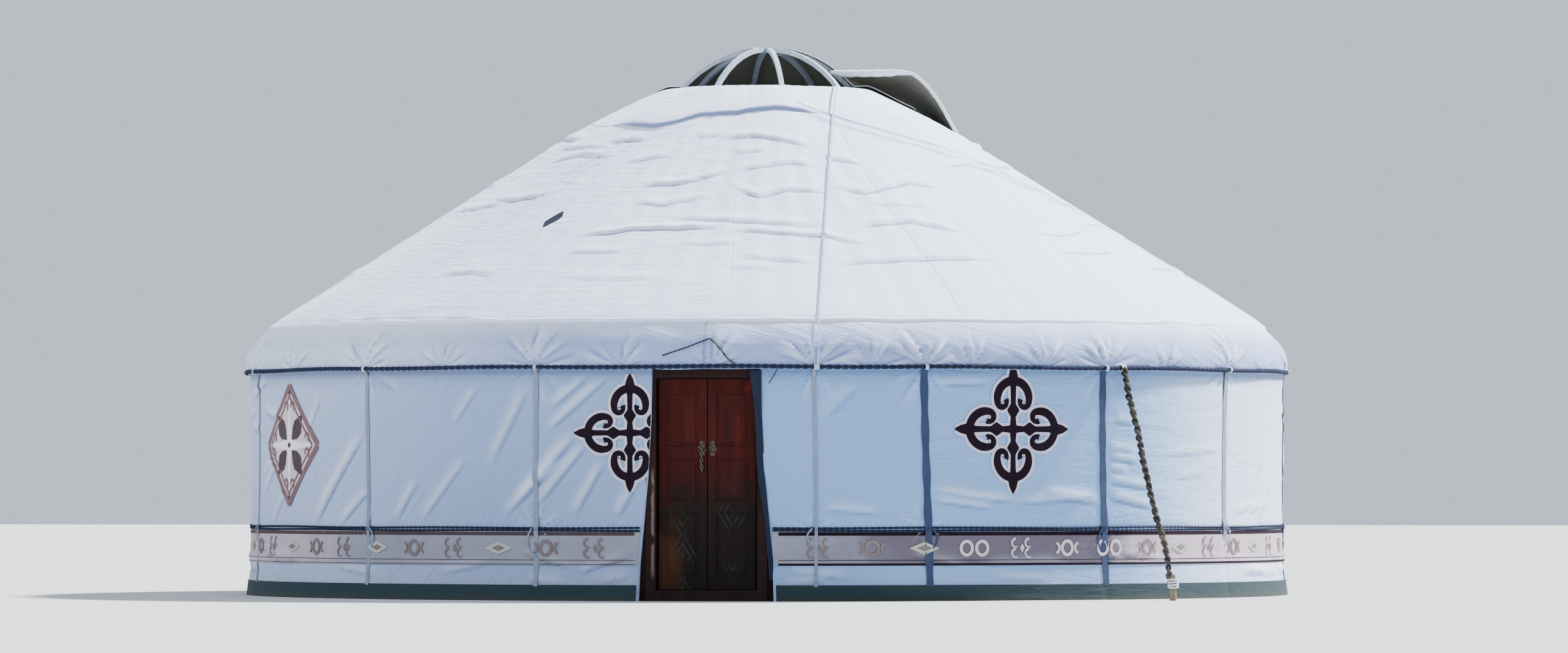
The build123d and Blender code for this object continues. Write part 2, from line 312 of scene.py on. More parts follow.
def ring_of(count: int) -> Array:
    """Angles in radians of points evenly spaced on a circle."""
    return np.linspace(0, 2 * math.pi, count + 1)[:-1]


def dress(palette: "Palette", finishes: dict[str, str]) -> None:
    """Gives CAD nodes their finishes.

    Args:
        palette: the finishes.
        finishes: a finish's name by the first part of the nodes' names.
    """
    for name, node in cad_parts.items():
        for first, finish in finishes.items():
            if name.startswith(first):
                node.data.materials.clear()
                node.data.materials.append(palette[finish])
                break


def resample(path: Array, step: float, closed: bool = False) -> Array:
    """Evenly spaced points along a path.

    Args:
        path: points along the path.
        step: the wanted distance between points.
        closed: whether the path is a loop.

    Returns:
        The new points.
    """
    path = np.asarray(path, float)
    if closed:
        path = np.vstack([path, path[:1]])
    run = run_along(path)
    count = max(2, int(round(run[-1] / step)))
    at = np.linspace(0, run[-1], count + 1)
    if closed:
        at = at[:-1]
    return np.stack([np.interp(at, run, path[:, i]) for i in range(path.shape[1])], 1)


@dataclass(frozen=True)
class Ripple:
    """Smooth cloth waves that close up round the plan.

    Attributes:
        seed: picks the pattern.
        waves: lowest and highest number of waves round the plan.
        climb: lowest and highest waves a metre of height, in radians.
        terms: number of waves summed.
    """

    seed: int
    waves: tuple[int, int]
    climb: tuple[float, float]
    terms: int = 14

    def __call__(self, theta: Array, z: Array) -> Array:
        """The waves' height at plan angles and heights, about -1 to 1.

        Args:
            theta: plan angles in degrees.
            z: heights or lengths down the cloth.

        Returns:
            The waves' height.
        """
        dice = np.random.default_rng(self.seed)
        total = 0.0
        for _ in range(self.terms):
            k = dice.integers(self.waves[0], self.waves[1] + 1)
            m = dice.uniform(*self.climb) * dice.choice([-1, 1])
            total = total + dice.uniform(0.5, 1.0) * np.sin(
                np.radians(theta) * k + m * z + dice.uniform(0, FULL_TURN))
        return total / math.sqrt(self.terms) * 0.9


def softened(values: Array, reach: int) -> Array:
    """Values averaged with their neighbours, with both ends kept in place.

    Args:
        values: the values in a row.
        reach: how many neighbours on each side count.

    Returns:
        The averaged values.
    """
    pad = np.pad(values, reach, mode="reflect", reflect_type="odd")
    weights = np.hanning(2 * reach + 1)
    return np.convolve(pad, weights / weights.sum(), "same")[reach:-reach]


def store_tuck(obj: Piece, shade: Array) -> None:
    """Stores the shade of the folds at each vertex, for the canvas finish to read.

    Args:
        obj: the cloth piece.
        shade: the shades, 1 in a hollow and -1 on a crest.
    """
    layer = obj.data.attributes.new("tuck", "FLOAT", "POINT")
    layer.data.foreach_set("value", np.asarray(shade, np.float32).ravel())


def shading(height: Array) -> Array:
    """Shade of folded cloth: 1 in a hollow, down to -1 on a crest.

    Args:
        height: how far the cloth stands out, in metres.

    Returns:
        The shades.
    """
    return np.clip(np.where(height < 0, -height / 0.0034, -height / 0.016), -1, 1)


def wrapped(theta: Array) -> Array:
    """Plan angles brought to the range from -180 to 180."""
    return (np.asarray(theta, float) + 180) % 360 - 180


def door_edge(z: Array) -> Array:
    """Plan angle of the cloth's edge beside the door at a height."""
    return np.interp(z, *np.array(DOOR_EDGE).T)


def fold_profile(x: Array) -> Array:
    """Height across a sagging fold: a soft belly on one side and a tuck on the other.

    Args:
        x: distance across the fold in its own widths.

    Returns:
        Heights of about -1 to 1.
    """
    return bell(x, 1.1, 1.8) - 0.9 * bell(x, -0.35, 0.75)


@dataclass(frozen=True)
class Fold:
    """A fold that runs round the yurt, drawn over the plan angle.

    Attributes:
        line: its points as plan angle and length up the cloth.
        depth: its height.
        width: its half width.
    """

    line: tuple
    depth: float = 0.009
    width: float = 0.030

    def height(self, theta: Array, s: Array) -> Array:
        """The fold's height at points of the cloth.

        Args:
            theta: plan angles.
            s: lengths up the cloth.

        Returns:
            Heights in metres.
        """
        angle, length = np.array(self.line).T
        t = (theta - angle[0]) / (angle[-1] - angle[0])
        ends = smooth(t, -0.05, 0.25) * (1 - smooth(t, 0.75, 1.05))
        return self.depth * ends * fold_profile((s - np.interp(theta, angle, length)) / self.width)


@dataclass(frozen=True)
class Crease:
    """A straight or bowed fold between two points of the wall, in any direction.

    Attributes:
        start: plan angle and height of one end.
        end: plan angle and height of the other end.
        depth: its height.
        width: its half width.
        bow: how far its middle lies off the straight line.
    """

    start: tuple
    end: tuple
    depth: float = 0.007
    width: float = 0.020
    bow: float = 0.0

    def height(self, theta: Array, z: Array) -> Array:
        """The fold's height at points of the cloth.

        Args:
            theta: plan angles.
            z: heights above the ground.

        Returns:
            Heights in metres.
        """
        k = math.radians(WALL_RADIUS)
        a, b = np.array(self.start) * (k, 1), np.array(self.end) * (k, 1)
        size = float(np.hypot(*(b - a)))
        dx, dy = (b - a) / size
        x, y = theta * k - a[0], z - a[1]
        t = (x * dx + y * dy) / size
        across = y * dx - x * dy - self.bow * 4 * np.clip(t, 0, 1) * (1 - np.clip(t, 0, 1))
        ends = smooth(t, -0.04, 0.25) * (1 - smooth(t, 0.70, 1.04))
        return self.depth * ends * fold_profile(across / self.width)


@dataclass(frozen=True)
class Fan:
    """Pleats that spread from the point where a cord draws the cloth in.

    Attributes:
        theta: plan angle of the point.
        height: its height or its length up the cloth.
        reach: how far the pleats run.
        count: number of pleats.
        depth: height of the pleats.
        down: whether they spread downward.
        seed: picks their directions.
    """

    theta: float
    height: float
    reach: float
    count: int
    depth: float
    down: bool
    seed: int

    def lift(self, theta: Array, v: Array, radius: float) -> Array:
        """Height of the pleats at points of the cloth.

        Args:
            theta: plan angles.
            v: heights or lengths up the cloth.
            radius: the cloth's distance from the centre.

        Returns:
            Heights in metres.
        """
        dx = np.radians(wrapped(theta - self.theta)) * radius
        out = np.zeros(dx.shape)
        near = (np.abs(dx) < self.reach) & (np.abs(v - self.height) < self.reach)
        if not near.any():
            return out
        x, y = dx[near], (v[near] - self.height) * (-1 if self.down else 1)
        far, turn = np.hypot(x, y), np.arctan2(x, y)
        dice = np.random.default_rng(self.seed)
        total = np.zeros(x.shape)
        for k in range(self.count):
            middle = -1.45 + 2.9 * (k + dice.uniform(0.2, 0.8)) / self.count
            run = self.reach * dice.uniform(0.55, 1.0)
            size = self.depth * dice.uniform(0.55, 1.1)
            blade = fold_profile((turn - middle) / 0.085 * dice.choice([-1, 1]))
            total = total + size * blade * smooth(far, 0.015, 0.08) * (1 - smooth(far, 0.45 * run, run))
        out[near] = total
        return out


FRONT_FOLDS = (
    Fold(((-5.8, 2.74), (2.7, 2.76), (18.1, 2.62)), 0.011),
    Fold(((-19.0, 2.10), (-10.5, 2.14), (-1.8, 2.30)), 0.011),
    Fold(((-0.2, 2.30), (12.0, 2.40), (17.4, 2.35)), 0.009),
    Fold(((19.5, 2.47), (27.5, 2.41)), 0.010),
    Fold(((-0.3, 2.09), (4.6, 1.94), (10.5, 2.04), (17.8, 2.02)), 0.010),
    Fold(((18.8, 2.09), (24.5, 2.00), (35.1, 2.15), (42.2, 2.10)), 0.011),
    Fold(((-17.7, 1.88), (-11.8, 1.85), (-5.0, 1.97)), 0.008),
    Fold(((-9.4, 1.67), (4.2, 1.61), (15.4, 1.57)), 0.009),
    Fold(((-23.0, 1.41), (-13.6, 1.53), (0.2, 1.54)), 0.013, 0.024),
    Fold(((1.0, 1.50), (15.5, 1.43), (20.9, 1.33)), 0.011, 0.023),
    Fold(((20.7, 1.57), (29.2, 1.62), (37.7, 1.49)), 0.012),
    Fold(((2.6, 1.15), (12.7, 1.10)), 0.008),
    Fold(((15.5, 1.09), (26.6, 1.13), (38.4, 1.14)), 0.010),
    Fold(((-22.2, 1.21), (-14.3, 1.23)), 0.006),
    Fold(((-21.4, 0.88), (-7.3, 0.87)), 0.005),
    Fold(((-27.0, 2.40), (-16.0, 2.52)), 0.007),
    Fold(((-13.0, 2.75), (-6.0, 2.80)), 0.007),
    Fold(((1.0, 1.02), (8.0, 0.99)), 0.005),
    Fold(((-2.0, 2.52), (6.0, 2.57)), 0.006),
    Fold(((24.0, 1.86), (36.0, 1.84)), 0.006),
    Fold(((-6.0, 1.33), (3.0, 1.32)), 0.005))

LEFT_CREASES = (
    Crease((-51.6, 0.49), (-42.0, 1.12), 0.012, 0.026), Crease((-46.5, 0.49), (-41.2, 0.73), 0.010),
    Crease((-53.1, 1.12), (-50.3, 1.38), 0.006), Crease((-16.9, 1.26), (-12.3, 1.49), 0.009),
    Crease((-17.3, 1.11), (-10.2, 1.48), 0.010), Crease((-20.9, 0.64), (-13.8, 1.10), 0.011, 0.024),
    Crease((-18.5, 0.62), (-12.5, 1.05), 0.009), Crease((-14.3, 0.55), (-10.8, 0.92), 0.009),
    Crease((-22.5, 0.55), (-15.6, 0.92), 0.009), Crease((-9.4, 0.55), (-7.6, 0.75), 0.008),
    Crease((-24.2, 0.88), (-19.3, 1.43), 0.007, 0.024), Crease((-28.9, 1.16), (-25.6, 1.42), 0.006),
    Crease((-39.6, 1.46), (-36.8, 1.38), 0.006), Crease((-33.5, 0.50), (-27.0, 0.95), 0.008),
    Crease((-37.0, 0.52), (-33.8, 0.80), 0.008), Crease((-63.0, 0.50), (-58.5, 0.74), 0.007),
    Crease((-20.5, 0.32), (-14.0, 0.20), 0.006), Crease((-14.0, 0.18), (-8.0, 0.29), 0.007),
    Crease((-31.0, 0.17), (-24.0, 0.24), 0.006), Crease((-47.0, 0.21), (-40.0, 0.15), 0.005),
    Crease((-12.0, 0.11), (-8.0, 0.15), 0.005), Crease((-19.8, 0.13), (-15.0, 0.10), 0.005))

RIGHT_CREASES = (
    Crease((24.0, 0.73), (34.0, 0.65), 0.010, 0.019, -0.01), Crease((24.0, 0.66), (31.4, 0.60), 0.008),
    Crease((33.8, 0.64), (44.4, 0.68), 0.008), Crease((45.6, 1.00), (50.0, 0.97), 0.008),
    Crease((45.6, 0.94), (50.4, 0.90), 0.008), Crease((45.6, 0.68), (52.4, 0.60), 0.010),
    Crease((45.6, 0.78), (52.0, 0.73), 0.008), Crease((54.0, 0.95), (65.4, 0.99), 0.006),
    Crease((23.8, 1.42), (31.2, 1.43), 0.008), Crease((29.0, 0.24), (40.6, 0.23), 0.007),
    Crease((21.5, 0.30), (28.0, 0.22), 0.007), Crease((46.6, 0.30), (54.1, 0.25), 0.006),
    Crease((36.6, 0.71), (44.6, 0.63), 0.008), Crease((46.5, 1.18), (49.5, 1.16), 0.006),
    Crease((45.8, 0.86), (48.6, 0.83), 0.006), Crease((12.5, 0.60), (18.6, 0.57), 0.007),
    Crease((8.5, 0.19), (15.0, 0.14), 0.007), Crease((8.2, 0.10), (13.0, 0.13), 0.006),
    Crease((31.0, 0.15), (38.0, 0.13), 0.005), Crease((56.0, 0.80), (62.0, 0.83), 0.005),
    Crease((67.6, 0.55), (75.0, 0.63), 0.007), Crease((12.2, 1.18), (16.4, 1.44), 0.004, 0.03))


def scattered_folds(seed: int, count: int, low: float, high: float) -> tuple[Fold, ...]:
    """Short level folds for the sides of the roof that the photograph doesn't show.

    Args:
        seed: picks their places.
        count: how many.
        low: plan angle where they begin.
        high: plan angle where they end.

    Returns:
        The folds.
    """
    dice = np.random.default_rng(seed)
    folds = []
    for _ in range(count):
        s = dice.uniform(0.95, 2.9)
        span = dice.uniform(7, 15) * (1 + 0.35 * s)
        start = dice.uniform(low, high - span)
        rise = dice.uniform(-0.05, 0.05, 3)
        line = tuple((start + span * k / 2, s + float(rise[k])) for k in range(3))
        folds.append(Fold(line, dice.uniform(0.005, 0.009), dice.uniform(0.026, 0.036)))
    return tuple(folds)


def scattered_creases(seed: int, count: int, low: float, high: float) -> tuple[Crease, ...]:
    """Folds of the wall's sides that the photograph doesn't show.

    Args:
        seed: picks their places.
        count: how many.
        low: plan angle where they begin.
        high: plan angle where they end.

    Returns:
        The folds.
    """
    dice = np.random.default_rng(seed)
    folds = []
    for _ in range(count):
        theta, z = dice.uniform(low, high), dice.choice([dice.uniform(0.5, 1.4), dice.uniform(0.12, 0.3)])
        span, rise = dice.uniform(4, 9), dice.uniform(-0.10, 0.45) * (z > 0.45)
        rise = min(rise, 1.46 - z)
        folds.append(Crease((theta, z), (theta + span, z + rise), dice.uniform(0.005, 0.010),
                            dice.uniform(0.018, 0.026), dice.uniform(-0.02, 0.02)))
    return tuple(folds)


# The forms that the cloth hangs on

@dataclass(frozen=True)
class WallForm:
    """The wall cloth's outer face, with its folds."""

    broad: Ripple = Ripple(3, (5, 16), (0.4, 2.2))
    small: Ripple = Ripple(8, (26, 60), (1.5, 6.5), 18)
    creases: tuple = (*LEFT_CREASES, *RIGHT_CREASES, *scattered_creases(5, 46, 70, 168),
                      *scattered_creases(6, 54, -176, -62))
    fans: tuple = (*(Fan(t, 1.545, 0.34, 5, 0.0055, True, 60 + i) for i, t in enumerate(TIES)),
                   *(Fan(t, GIRTH, 0.24, 4, 0.0050, False, 90 + i) for i, t in enumerate(TIES)),
                   *(Fan(t, GIRTH, 0.20, 4, 0.0045, True, 120 + i) for i, t in enumerate(TIES)))

    def folded(self, theta: Array, z: Array) -> Array:
        """Height of all creases and pleats together.

        Args:
            theta: plan angles from -180 to 180.
            z: heights above the ground.

        Returns:
            Heights in metres.
        """
        theta, z = np.broadcast_arrays(theta, np.asarray(z, float))
        out = np.zeros(theta.shape)
        for fold in self.creases:
            near = (theta > fold.start[0] - 4) & (theta < fold.end[0] + 4)
            if near.any():
                out[near] += fold.height(theta[near], z[near])
        for fan in self.fans:
            out = out + fan.lift(theta, z, WALL_RADIUS)
        return out

    def tuck(self, theta: Array, z: Array) -> Array:
        """Shade of the folds, 1 in a hollow and -1 on a crest."""
        return shading(self.folded(wrapped(theta), z))

    def radius(self, theta: Array, z: Array) -> Array:
        """Distance of the cloth's outer face from the centre.

        Args:
            theta: plan angles in degrees.
            z: heights above the ground.

        Returns:
            Radii in metres.
        """
        theta, z = np.broadcast_arrays(wrapped(theta), np.asarray(z, float))
        r = WALL_RADIUS + FLARE * np.clip(1 - z / FLARE_HEIGHT, 0, 1) ** 1.4 - 0.004
        loose = smooth(z, 0.0, 0.25) * (1 - 0.75 * bell(z, GIRTH, 0.06))
        loose = loose * (1 - 0.5 * smooth(z, 1.42, 1.55)) + 0.45 * (1 - smooth(z, 0.0, 0.2))
        r = r + loose * (0.0050 * self.broad(theta, z) + 0.0016 * self.small(theta, z))
        r = r + self.folded(theta, z)
        r = r - 0.007 * bell(z, GIRTH, 0.024)
        for tie in TIES:
            dx = np.radians(wrapped(theta - tie)) * WALL_RADIUS
            r = r - 0.004 * bell(dx, 0, 0.03)
        gap = np.abs(theta) - door_edge(z)
        r = r + 0.005 * bell(gap, 0, 0.9) * np.sin(7 * z + 1.3 * np.sign(theta))
        return np.clip(r, WALL_RADIUS - 0.014, WALL_RADIUS + FLARE + 0.012)

    def point(self, theta: Array, z: Array, off: float = 0.0) -> Array:
        """Points on or off the cloth's outer face.

        Args:
            theta: plan angles in degrees.
            z: heights above the ground.
            off: distance out from the face.

        Returns:
            The points.
        """
        return around(theta, self.radius(theta, z) + off, z)


@dataclass(frozen=True)
class RoofForm:
    """The roof cloth's outer face from its hem up to the crown, with its folds."""

    line: tuple = ((3.6010, 1.506), (3.6025, 1.56), (3.6030, 1.62), (3.588, 1.675), (3.551, 1.728),
                   (3.490, 1.800), (3.420, 1.875), (3.310, 1.952), (3.180, 2.036), (2.6, 2.400),
                   (2.0, 2.776), (1.4, 3.153), (1.2, 3.268), (1.0, 3.366), (0.85, 3.440), (0.75, 3.487),
                   (0.700, 3.5045), (0.648, 3.5055))
    broad: Ripple = Ripple(21, (4, 14), (0.5, 2.6))
    fine: Ripple = Ripple(37, (30, 80), (4.0, 18.0), 20)
    hem: Ripple = Ripple(41, (22, 54), (3.0, 9.0), 18)
    folds: tuple = (*FRONT_FOLDS, *scattered_folds(11, 34, 42, 176), *scattered_folds(12, 38, -176, -26))
    fans: tuple = (*(Fan(t, 0.03, 0.40, 7, 0.0115, False, 200 + i) for i, t in enumerate(TIES)),
                   *(Fan(t, 0.02, 0.34, 5, 0.0095, False, 240 + i) for i, t in enumerate(
                       (0.6, 17.5, 28.5, 37.0, 54.0, 76.0, 102.0, 128.0, 152.0, 177.0, -158.0, -132.0,
                        -108.0, -83.0, -56.0, -30.0, -9.0))))

    def length(self) -> float:
        """Length of the line from the hem to the crown."""
        return float(run_along(np.array(self.line))[-1])

    def base(self, s: Array) -> tuple[Array, Array, Array, Array]:
        """The plain line at lengths up from the hem.

        Args:
            s: lengths up from the hem.

        Returns:
            Radius, height, and the outward normal's radial and upward parts.
        """
        line = np.array(self.line)
        run = run_along(line)
        fine = np.linspace(0, run[-1], 900)
        soft = []
        for axis in (0, 1):
            value = np.interp(fine, run, line[:, axis])
            soft.append(softened(value, 9))
        slope = [np.gradient(v, fine) for v in soft]
        r, z = (np.interp(s, fine, v) for v in soft)
        dr, dz = (np.interp(s, fine, v) for v in slope)
        size = np.hypot(dr, dz) + 1e-9
        return r, z, dz / size, -dr / size

    def folded(self, theta: Array, s: Array) -> Array:
        """Height of all folds and pleats together.

        Args:
            theta: plan angles from -180 to 180.
            s: lengths up from the hem.

        Returns:
            Heights in metres.
        """
        theta, s = np.broadcast_arrays(theta, np.asarray(s, float))
        out = np.zeros(theta.shape)
        for fold in self.folds:
            near = (theta > fold.line[0][0] - 3) & (theta < fold.line[-1][0] + 3)
            if near.any():
                out[near] += fold.height(theta[near], s[near])
        for fan in self.fans:
            out = out + fan.lift(theta, s, EAVE_RADIUS)
        return out

    def tuck(self, theta: Array, s: Array) -> Array:
        """Shade of the folds, 1 in a hollow and -1 on a crest."""
        return shading(self.folded(wrapped(theta), s))

    def plain(self, theta: Array, s: Array, off: float) -> Array:
        """Points off the plain line, without folds."""
        r, z, nr, nz = self.base(s)
        return around(theta, r + nr * off, z + nz * off)

    def bulge(self, theta: Array, s: Array) -> Array:
        """How far the cloth stands off the plain line.

        Args:
            theta: plan angles in degrees.
            s: lengths up from the hem.

        Returns:
            Distances along the outward normal.
        """
        theta, s = np.broadcast_arrays(wrapped(theta), np.asarray(s, float))
        up = s / self.length()
        roof = smooth(s, 0.42, 0.80)
        out = roof * 0.008 * self.broad(theta, s) * (1 - smooth(up, 0.9, 1.0))
        out = out + self.folded(theta, s)
        out = out + roof * 0.0012 * self.fine(theta, s)
        pole = np.cos(np.radians(theta) * POLES)
        out = out + 0.0026 * pole * smooth(s, 0.35, 0.6) * (1 - smooth(up, 0.55, 0.85))
        hem = (1 - smooth(s, 0.36, 0.50)) * smooth(s, 0.03, 0.10)
        out = out + hem * (0.0070 * self.hem(theta, s) + 0.004)
        return out - 0.005 * bell(s, 0.029, 0.012)

    def point(self, theta: Array, s: Array, off: float = 0.0) -> Array:
        """Points on or off the cloth.

        Args:
            theta: plan angles in degrees.
            s: lengths up from the hem.
            off: distance out from the face.

        Returns:
            The points.
        """
        theta, s = np.broadcast_arrays(np.asarray(theta, float), np.asarray(s, float))
        r, z, nr, nz = self.base(s)
        out = self.bulge(theta, s) + off
        return around(theta, r + nr * out, z + nz * out)


# Shading helpers

def rgba(color: Color) -> tuple[float, float, float, float]:
    """A colour with full alpha."""
    return (*color, 1.0)


class Graph:
    """A node tree with short calls to add and join nodes."""

    def __init__(self, tree: Tree) -> None:
        """Starts from the tree that is built."""
        self.tree = tree

    def fill(self, node: Node, inputs: dict) -> Node:
        """Sets or joins a node's inputs.

        Args:
            node: the node.
            inputs: values or sockets by input name or number.

        Returns:
            The node.
        """
        for key, value in inputs.items():
            if isinstance(value, Socket):
                self.tree.links.new(value, node.inputs[key])
            else:
                node.inputs[key].default_value = value
        return node

    def add(self, kind: str, inputs: dict | None = None, **settings) -> Node:
        """Adds a node.

        Args:
            kind: the node's type name without its ShaderNode prefix.
            inputs: values or sockets by input name or number.
            settings: the node's own settings.

        Returns:
            The node.
        """
        node = self.tree.nodes.new("ShaderNode" + kind)
        for key, value in settings.items():
            setattr(node, key, value)
        return self.fill(node, inputs or {})

    def group(self, tree: Tree, **inputs) -> Node:
        """Places a shared effect."""
        return self.add("Group", inputs, node_tree=tree)

    def math(self, operation: str, a: Value, b: Value = 0.0, clamp: bool = False) -> Socket:
        """One math step.

        Args:
            operation: the operation's name.
            a: first value or socket.
            b: second value or socket.
            clamp: whether the result is kept from 0 to 1.

        Returns:
            The result's socket.
        """
        return self.add("Math", {0: a, 1: b}, operation=operation, use_clamp=clamp).outputs[0]

    def times(self, a: Value, b: Value, clamp: bool = False) -> Socket:
        """The product of two values."""
        return self.math("MULTIPLY", a, b, clamp)

    def plus(self, a: Value, b: Value, clamp: bool = False) -> Socket:
        """The sum of two values."""
        return self.math("ADD", a, b, clamp)

    def mix(self, factor: Value, a: Color | Socket, b: Color | Socket) -> Socket:
        """Mixes two colours.

        Args:
            factor: share of the second colour.
            a: first colour or socket.
            b: second colour or socket.

        Returns:
            The mixed colour's socket.
        """
        first, second = (rgba(c) if isinstance(c, tuple) else c for c in (a, b))
        return self.add("Mix", {0: factor, 6: first, 7: second}, data_type="RGBA").outputs[2]

    def ramp(self, value: Socket, low: float, high: float) -> Socket:
        """Maps a value softly from low..high to 0..1.

        Args:
            value: socket to map.
            low: value that becomes 0.
            high: value that becomes 1.

        Returns:
            The mapped socket.
        """
        return self.add("MapRange", {"Value": value, "From Min": low, "From Max": high},
                        interpolation_type="SMOOTHSTEP", clamp=True).outputs["Result"]

    def noise(self, vector: Socket, scale: Value, detail: float, rough: float = 0.5,
              bend: float = 0.0) -> Socket:
        """Cloudy noise.

        Args:
            vector: where it is read.
            scale: its fineness.
            detail: how many finer layers it has.
            rough: how strong the finer layers are.
            bend: how far it is distorted.

        Returns:
            The noise's socket.
        """
        return self.add("TexNoise", {"Vector": vector, "Scale": scale, "Detail": detail,
                                     "Roughness": rough, "Distortion": bend}).outputs[0]

    def bump(self, height: Socket, strength: float, distance: float, normal: Socket | None = None) -> Socket:
        """A surface normal from a height.

        Args:
            height: the height.
            strength: how strongly it shows.
            distance: what a height of 1 stands for, in metres.
            normal: a normal to build on.

        Returns:
            The normal's socket.
        """
        inputs = {"Height": height, "Strength": strength, "Distance": distance}
        if normal is not None:
            inputs["Normal"] = normal
        return self.add("Bump", inputs).outputs[0]

    def split(self, vector: Socket) -> tuple[Socket, ...]:
        """The three parts of a vector."""
        return tuple(self.add("SeparateXYZ", {0: vector}).outputs)

    def stretch(self, vector: Socket, scale: tuple[float, float, float]) -> Socket:
        """A vector with each part scaled."""
        return self.add("Mapping", {"Vector": vector, "Scale": scale}).outputs[0]


class Effects:
    """Shared shader effects as node groups with named sockets, each made once."""

    @staticmethod
    def _start(name: str, outputs: tuple[str, ...], **values: float) -> tuple[Graph, dict, Node]:
        """Begins a group that reads a vector.

        Args:
            name: the group's name.
            outputs: the names of its outputs.
            values: the defaults of its other inputs by name.

        Returns:
            The graph, its input sockets by name and its output node.
        """
        tree = bpy.data.node_groups.new(name, "ShaderNodeTree")
        tree.interface.new_socket("Vector", in_out="INPUT", socket_type="NodeSocketVector")
        for label, value in values.items():
            socket = tree.interface.new_socket(label, in_out="INPUT", socket_type="NodeSocketFloat")
            socket.default_value = value
        for label in outputs:
            tree.interface.new_socket(label, in_out="OUTPUT", socket_type="NodeSocketFloat")
        start, end = tree.nodes.new("NodeGroupInput"), tree.nodes.new("NodeGroupOutput")
        return Graph(tree), {s.name: s for s in start.outputs}, end

    @staticmethod
    @cache
    def weave() -> Tree:
        """Plain woven threads: a thread height and a fleck mask.

        Returns:
            The node group.
        """
        g, ins, out = Effects._start("weave", ("Height", "Fleck"), Threads=420.0)
        across, along, _ = g.split(ins["Vector"])
        over = g.times(*(g.math("SINE", g.times(part, ins["Threads"])) for part in (across, along)))
        lift = g.add("Math", {0: over, 1: 0.5, 2: 0.5}, operation="MULTIPLY_ADD").outputs[0]
        g.fill(out, {"Height": lift, "Fleck": g.ramp(g.noise(ins["Vector"], 90.0, 3.0), 0.45, 0.75)})
        return g.tree

    @staticmethod
    @cache
    def weather() -> Tree:
        """Marks of use outdoors: blotches, rain streaks and splashed earth.

        Returns:
            The node group.
        """
        g, ins, out = Effects._start("weather", ("Blotch", "Streak", "Earth"), Height=1.0, Splash=0.35)
        blotch = g.noise(ins["Vector"], 1.3, 6.0, 0.6)
        streak = g.noise(g.stretch(ins["Vector"], (9.0, 9.0, 0.55)), 1.6, 4.0, 0.65)
        patch = g.times(g.noise(ins["Vector"], 5.0, 5.0), 0.7)
        edge = g.plus(g.math("DIVIDE", ins["Height"], ins["Splash"]), patch)
        g.fill(out, {"Blotch": g.ramp(blotch, 0.38, 0.72), "Streak": g.ramp(streak, 0.52, 0.78),
                     "Earth": g.math("SUBTRACT", 1.0, g.ramp(edge, 0.35, 1.35))})
        return g.tree

    @staticmethod
    @cache
    def grain() -> Tree:
        """Wood grain drawn out along Z: a grain value and a fine height.

        Returns:
            The node group.
        """
        g, ins, out = Effects._start("grain", ("Grain", "Height"), Scale=22.0)
        long = g.stretch(ins["Vector"], (1.0, 1.0, 0.09))
        rings = g.noise(long, ins["Scale"], 6.0, 0.62, 0.7)
        fine = g.times(g.noise(long, 140.0, 3.0), 0.5)
        g.fill(out, {"Grain": g.ramp(rings, 0.35, 0.68), "Height": g.plus(rings, fine)})
        return g.tree

    @staticmethod
    @cache
    def wear() -> Tree:
        """Rubbed edges and chips as a mask.

        Returns:
            The node group.
        """
        g, ins, out = Effects._start("wear", ("Mask",), Amount=0.5)
        chips = g.noise(ins["Vector"], 16.0, 8.0, 0.7)
        rubs = g.noise(g.stretch(ins["Vector"], (1.0, 1.0, 0.14)), 30.0, 5.0, 0.6)
        chip = g.times(g.ramp(chips, 0.56, 0.68), g.ramp(rubs, 0.42, 0.60))
        scrape = g.times(g.ramp(rubs, 0.60, 0.72), 0.6)
        g.fill(out, {"Mask": g.times(g.plus(chip, scrape), ins["Amount"], clamp=True)})
        return g.tree

    @staticmethod
    @cache
    def wrinkle() -> Tree:
        """Long soft wrinkles that run one way over the cloth, as a height.

        Returns:
            The node group.
        """
        g, ins, out = Effects._start("wrinkle", ("Height",), Slant=0.0, Scale=2.4)
        turned = g.add("VectorRotate", {"Vector": ins["Vector"], "Angle": ins["Slant"]},
                       rotation_type="Z_AXIS")
        long = g.stretch(turned.outputs[0], (0.42, 2.6, 1.0))
        broad = g.noise(long, ins["Scale"], 3.0, 0.5, 0.5)
        small = g.noise(long, 9.0, 3.0, 0.5, 0.8)
        ridge, fine = (g.math("ABSOLUTE", g.math("SUBTRACT", part, 0.5)) for part in (broad, small))
        g.fill(out, {"Height": g.plus(g.times(ridge, 2.2), g.times(fine, 0.8), clamp=True)})
        return g.tree


@dataclass(frozen=True)
class Finish:
    """A material: what every finish has."""

    name: str
    color: Color
    roughness: float = 0.85
    gloss: float = 0.30

    def _paint(self, g: Graph, place: Socket, surface: Node) -> None:
        """Adds a finish's own nodes, of which a plain one has none.

        Args:
            g: the material's graph.
            place: the point on the piece.
            surface: the surface shader.
        """

    def build(self) -> bpy.types.Material:
        """Makes the material.

        Returns:
            The material.
        """
        material = bpy.data.materials.new(self.name)
        material.use_nodes = True
        material.diffuse_color = rgba(self.color)
        surface = material.node_tree.nodes["Principled BSDF"]
        g = Graph(material.node_tree)
        g.fill(surface, {"Base Color": rgba(self.color), "Roughness": self.roughness,
                         "Specular IOR Level": self.gloss})
        self._paint(g, g.add("TexCoord").outputs["Object"], surface)
        return material


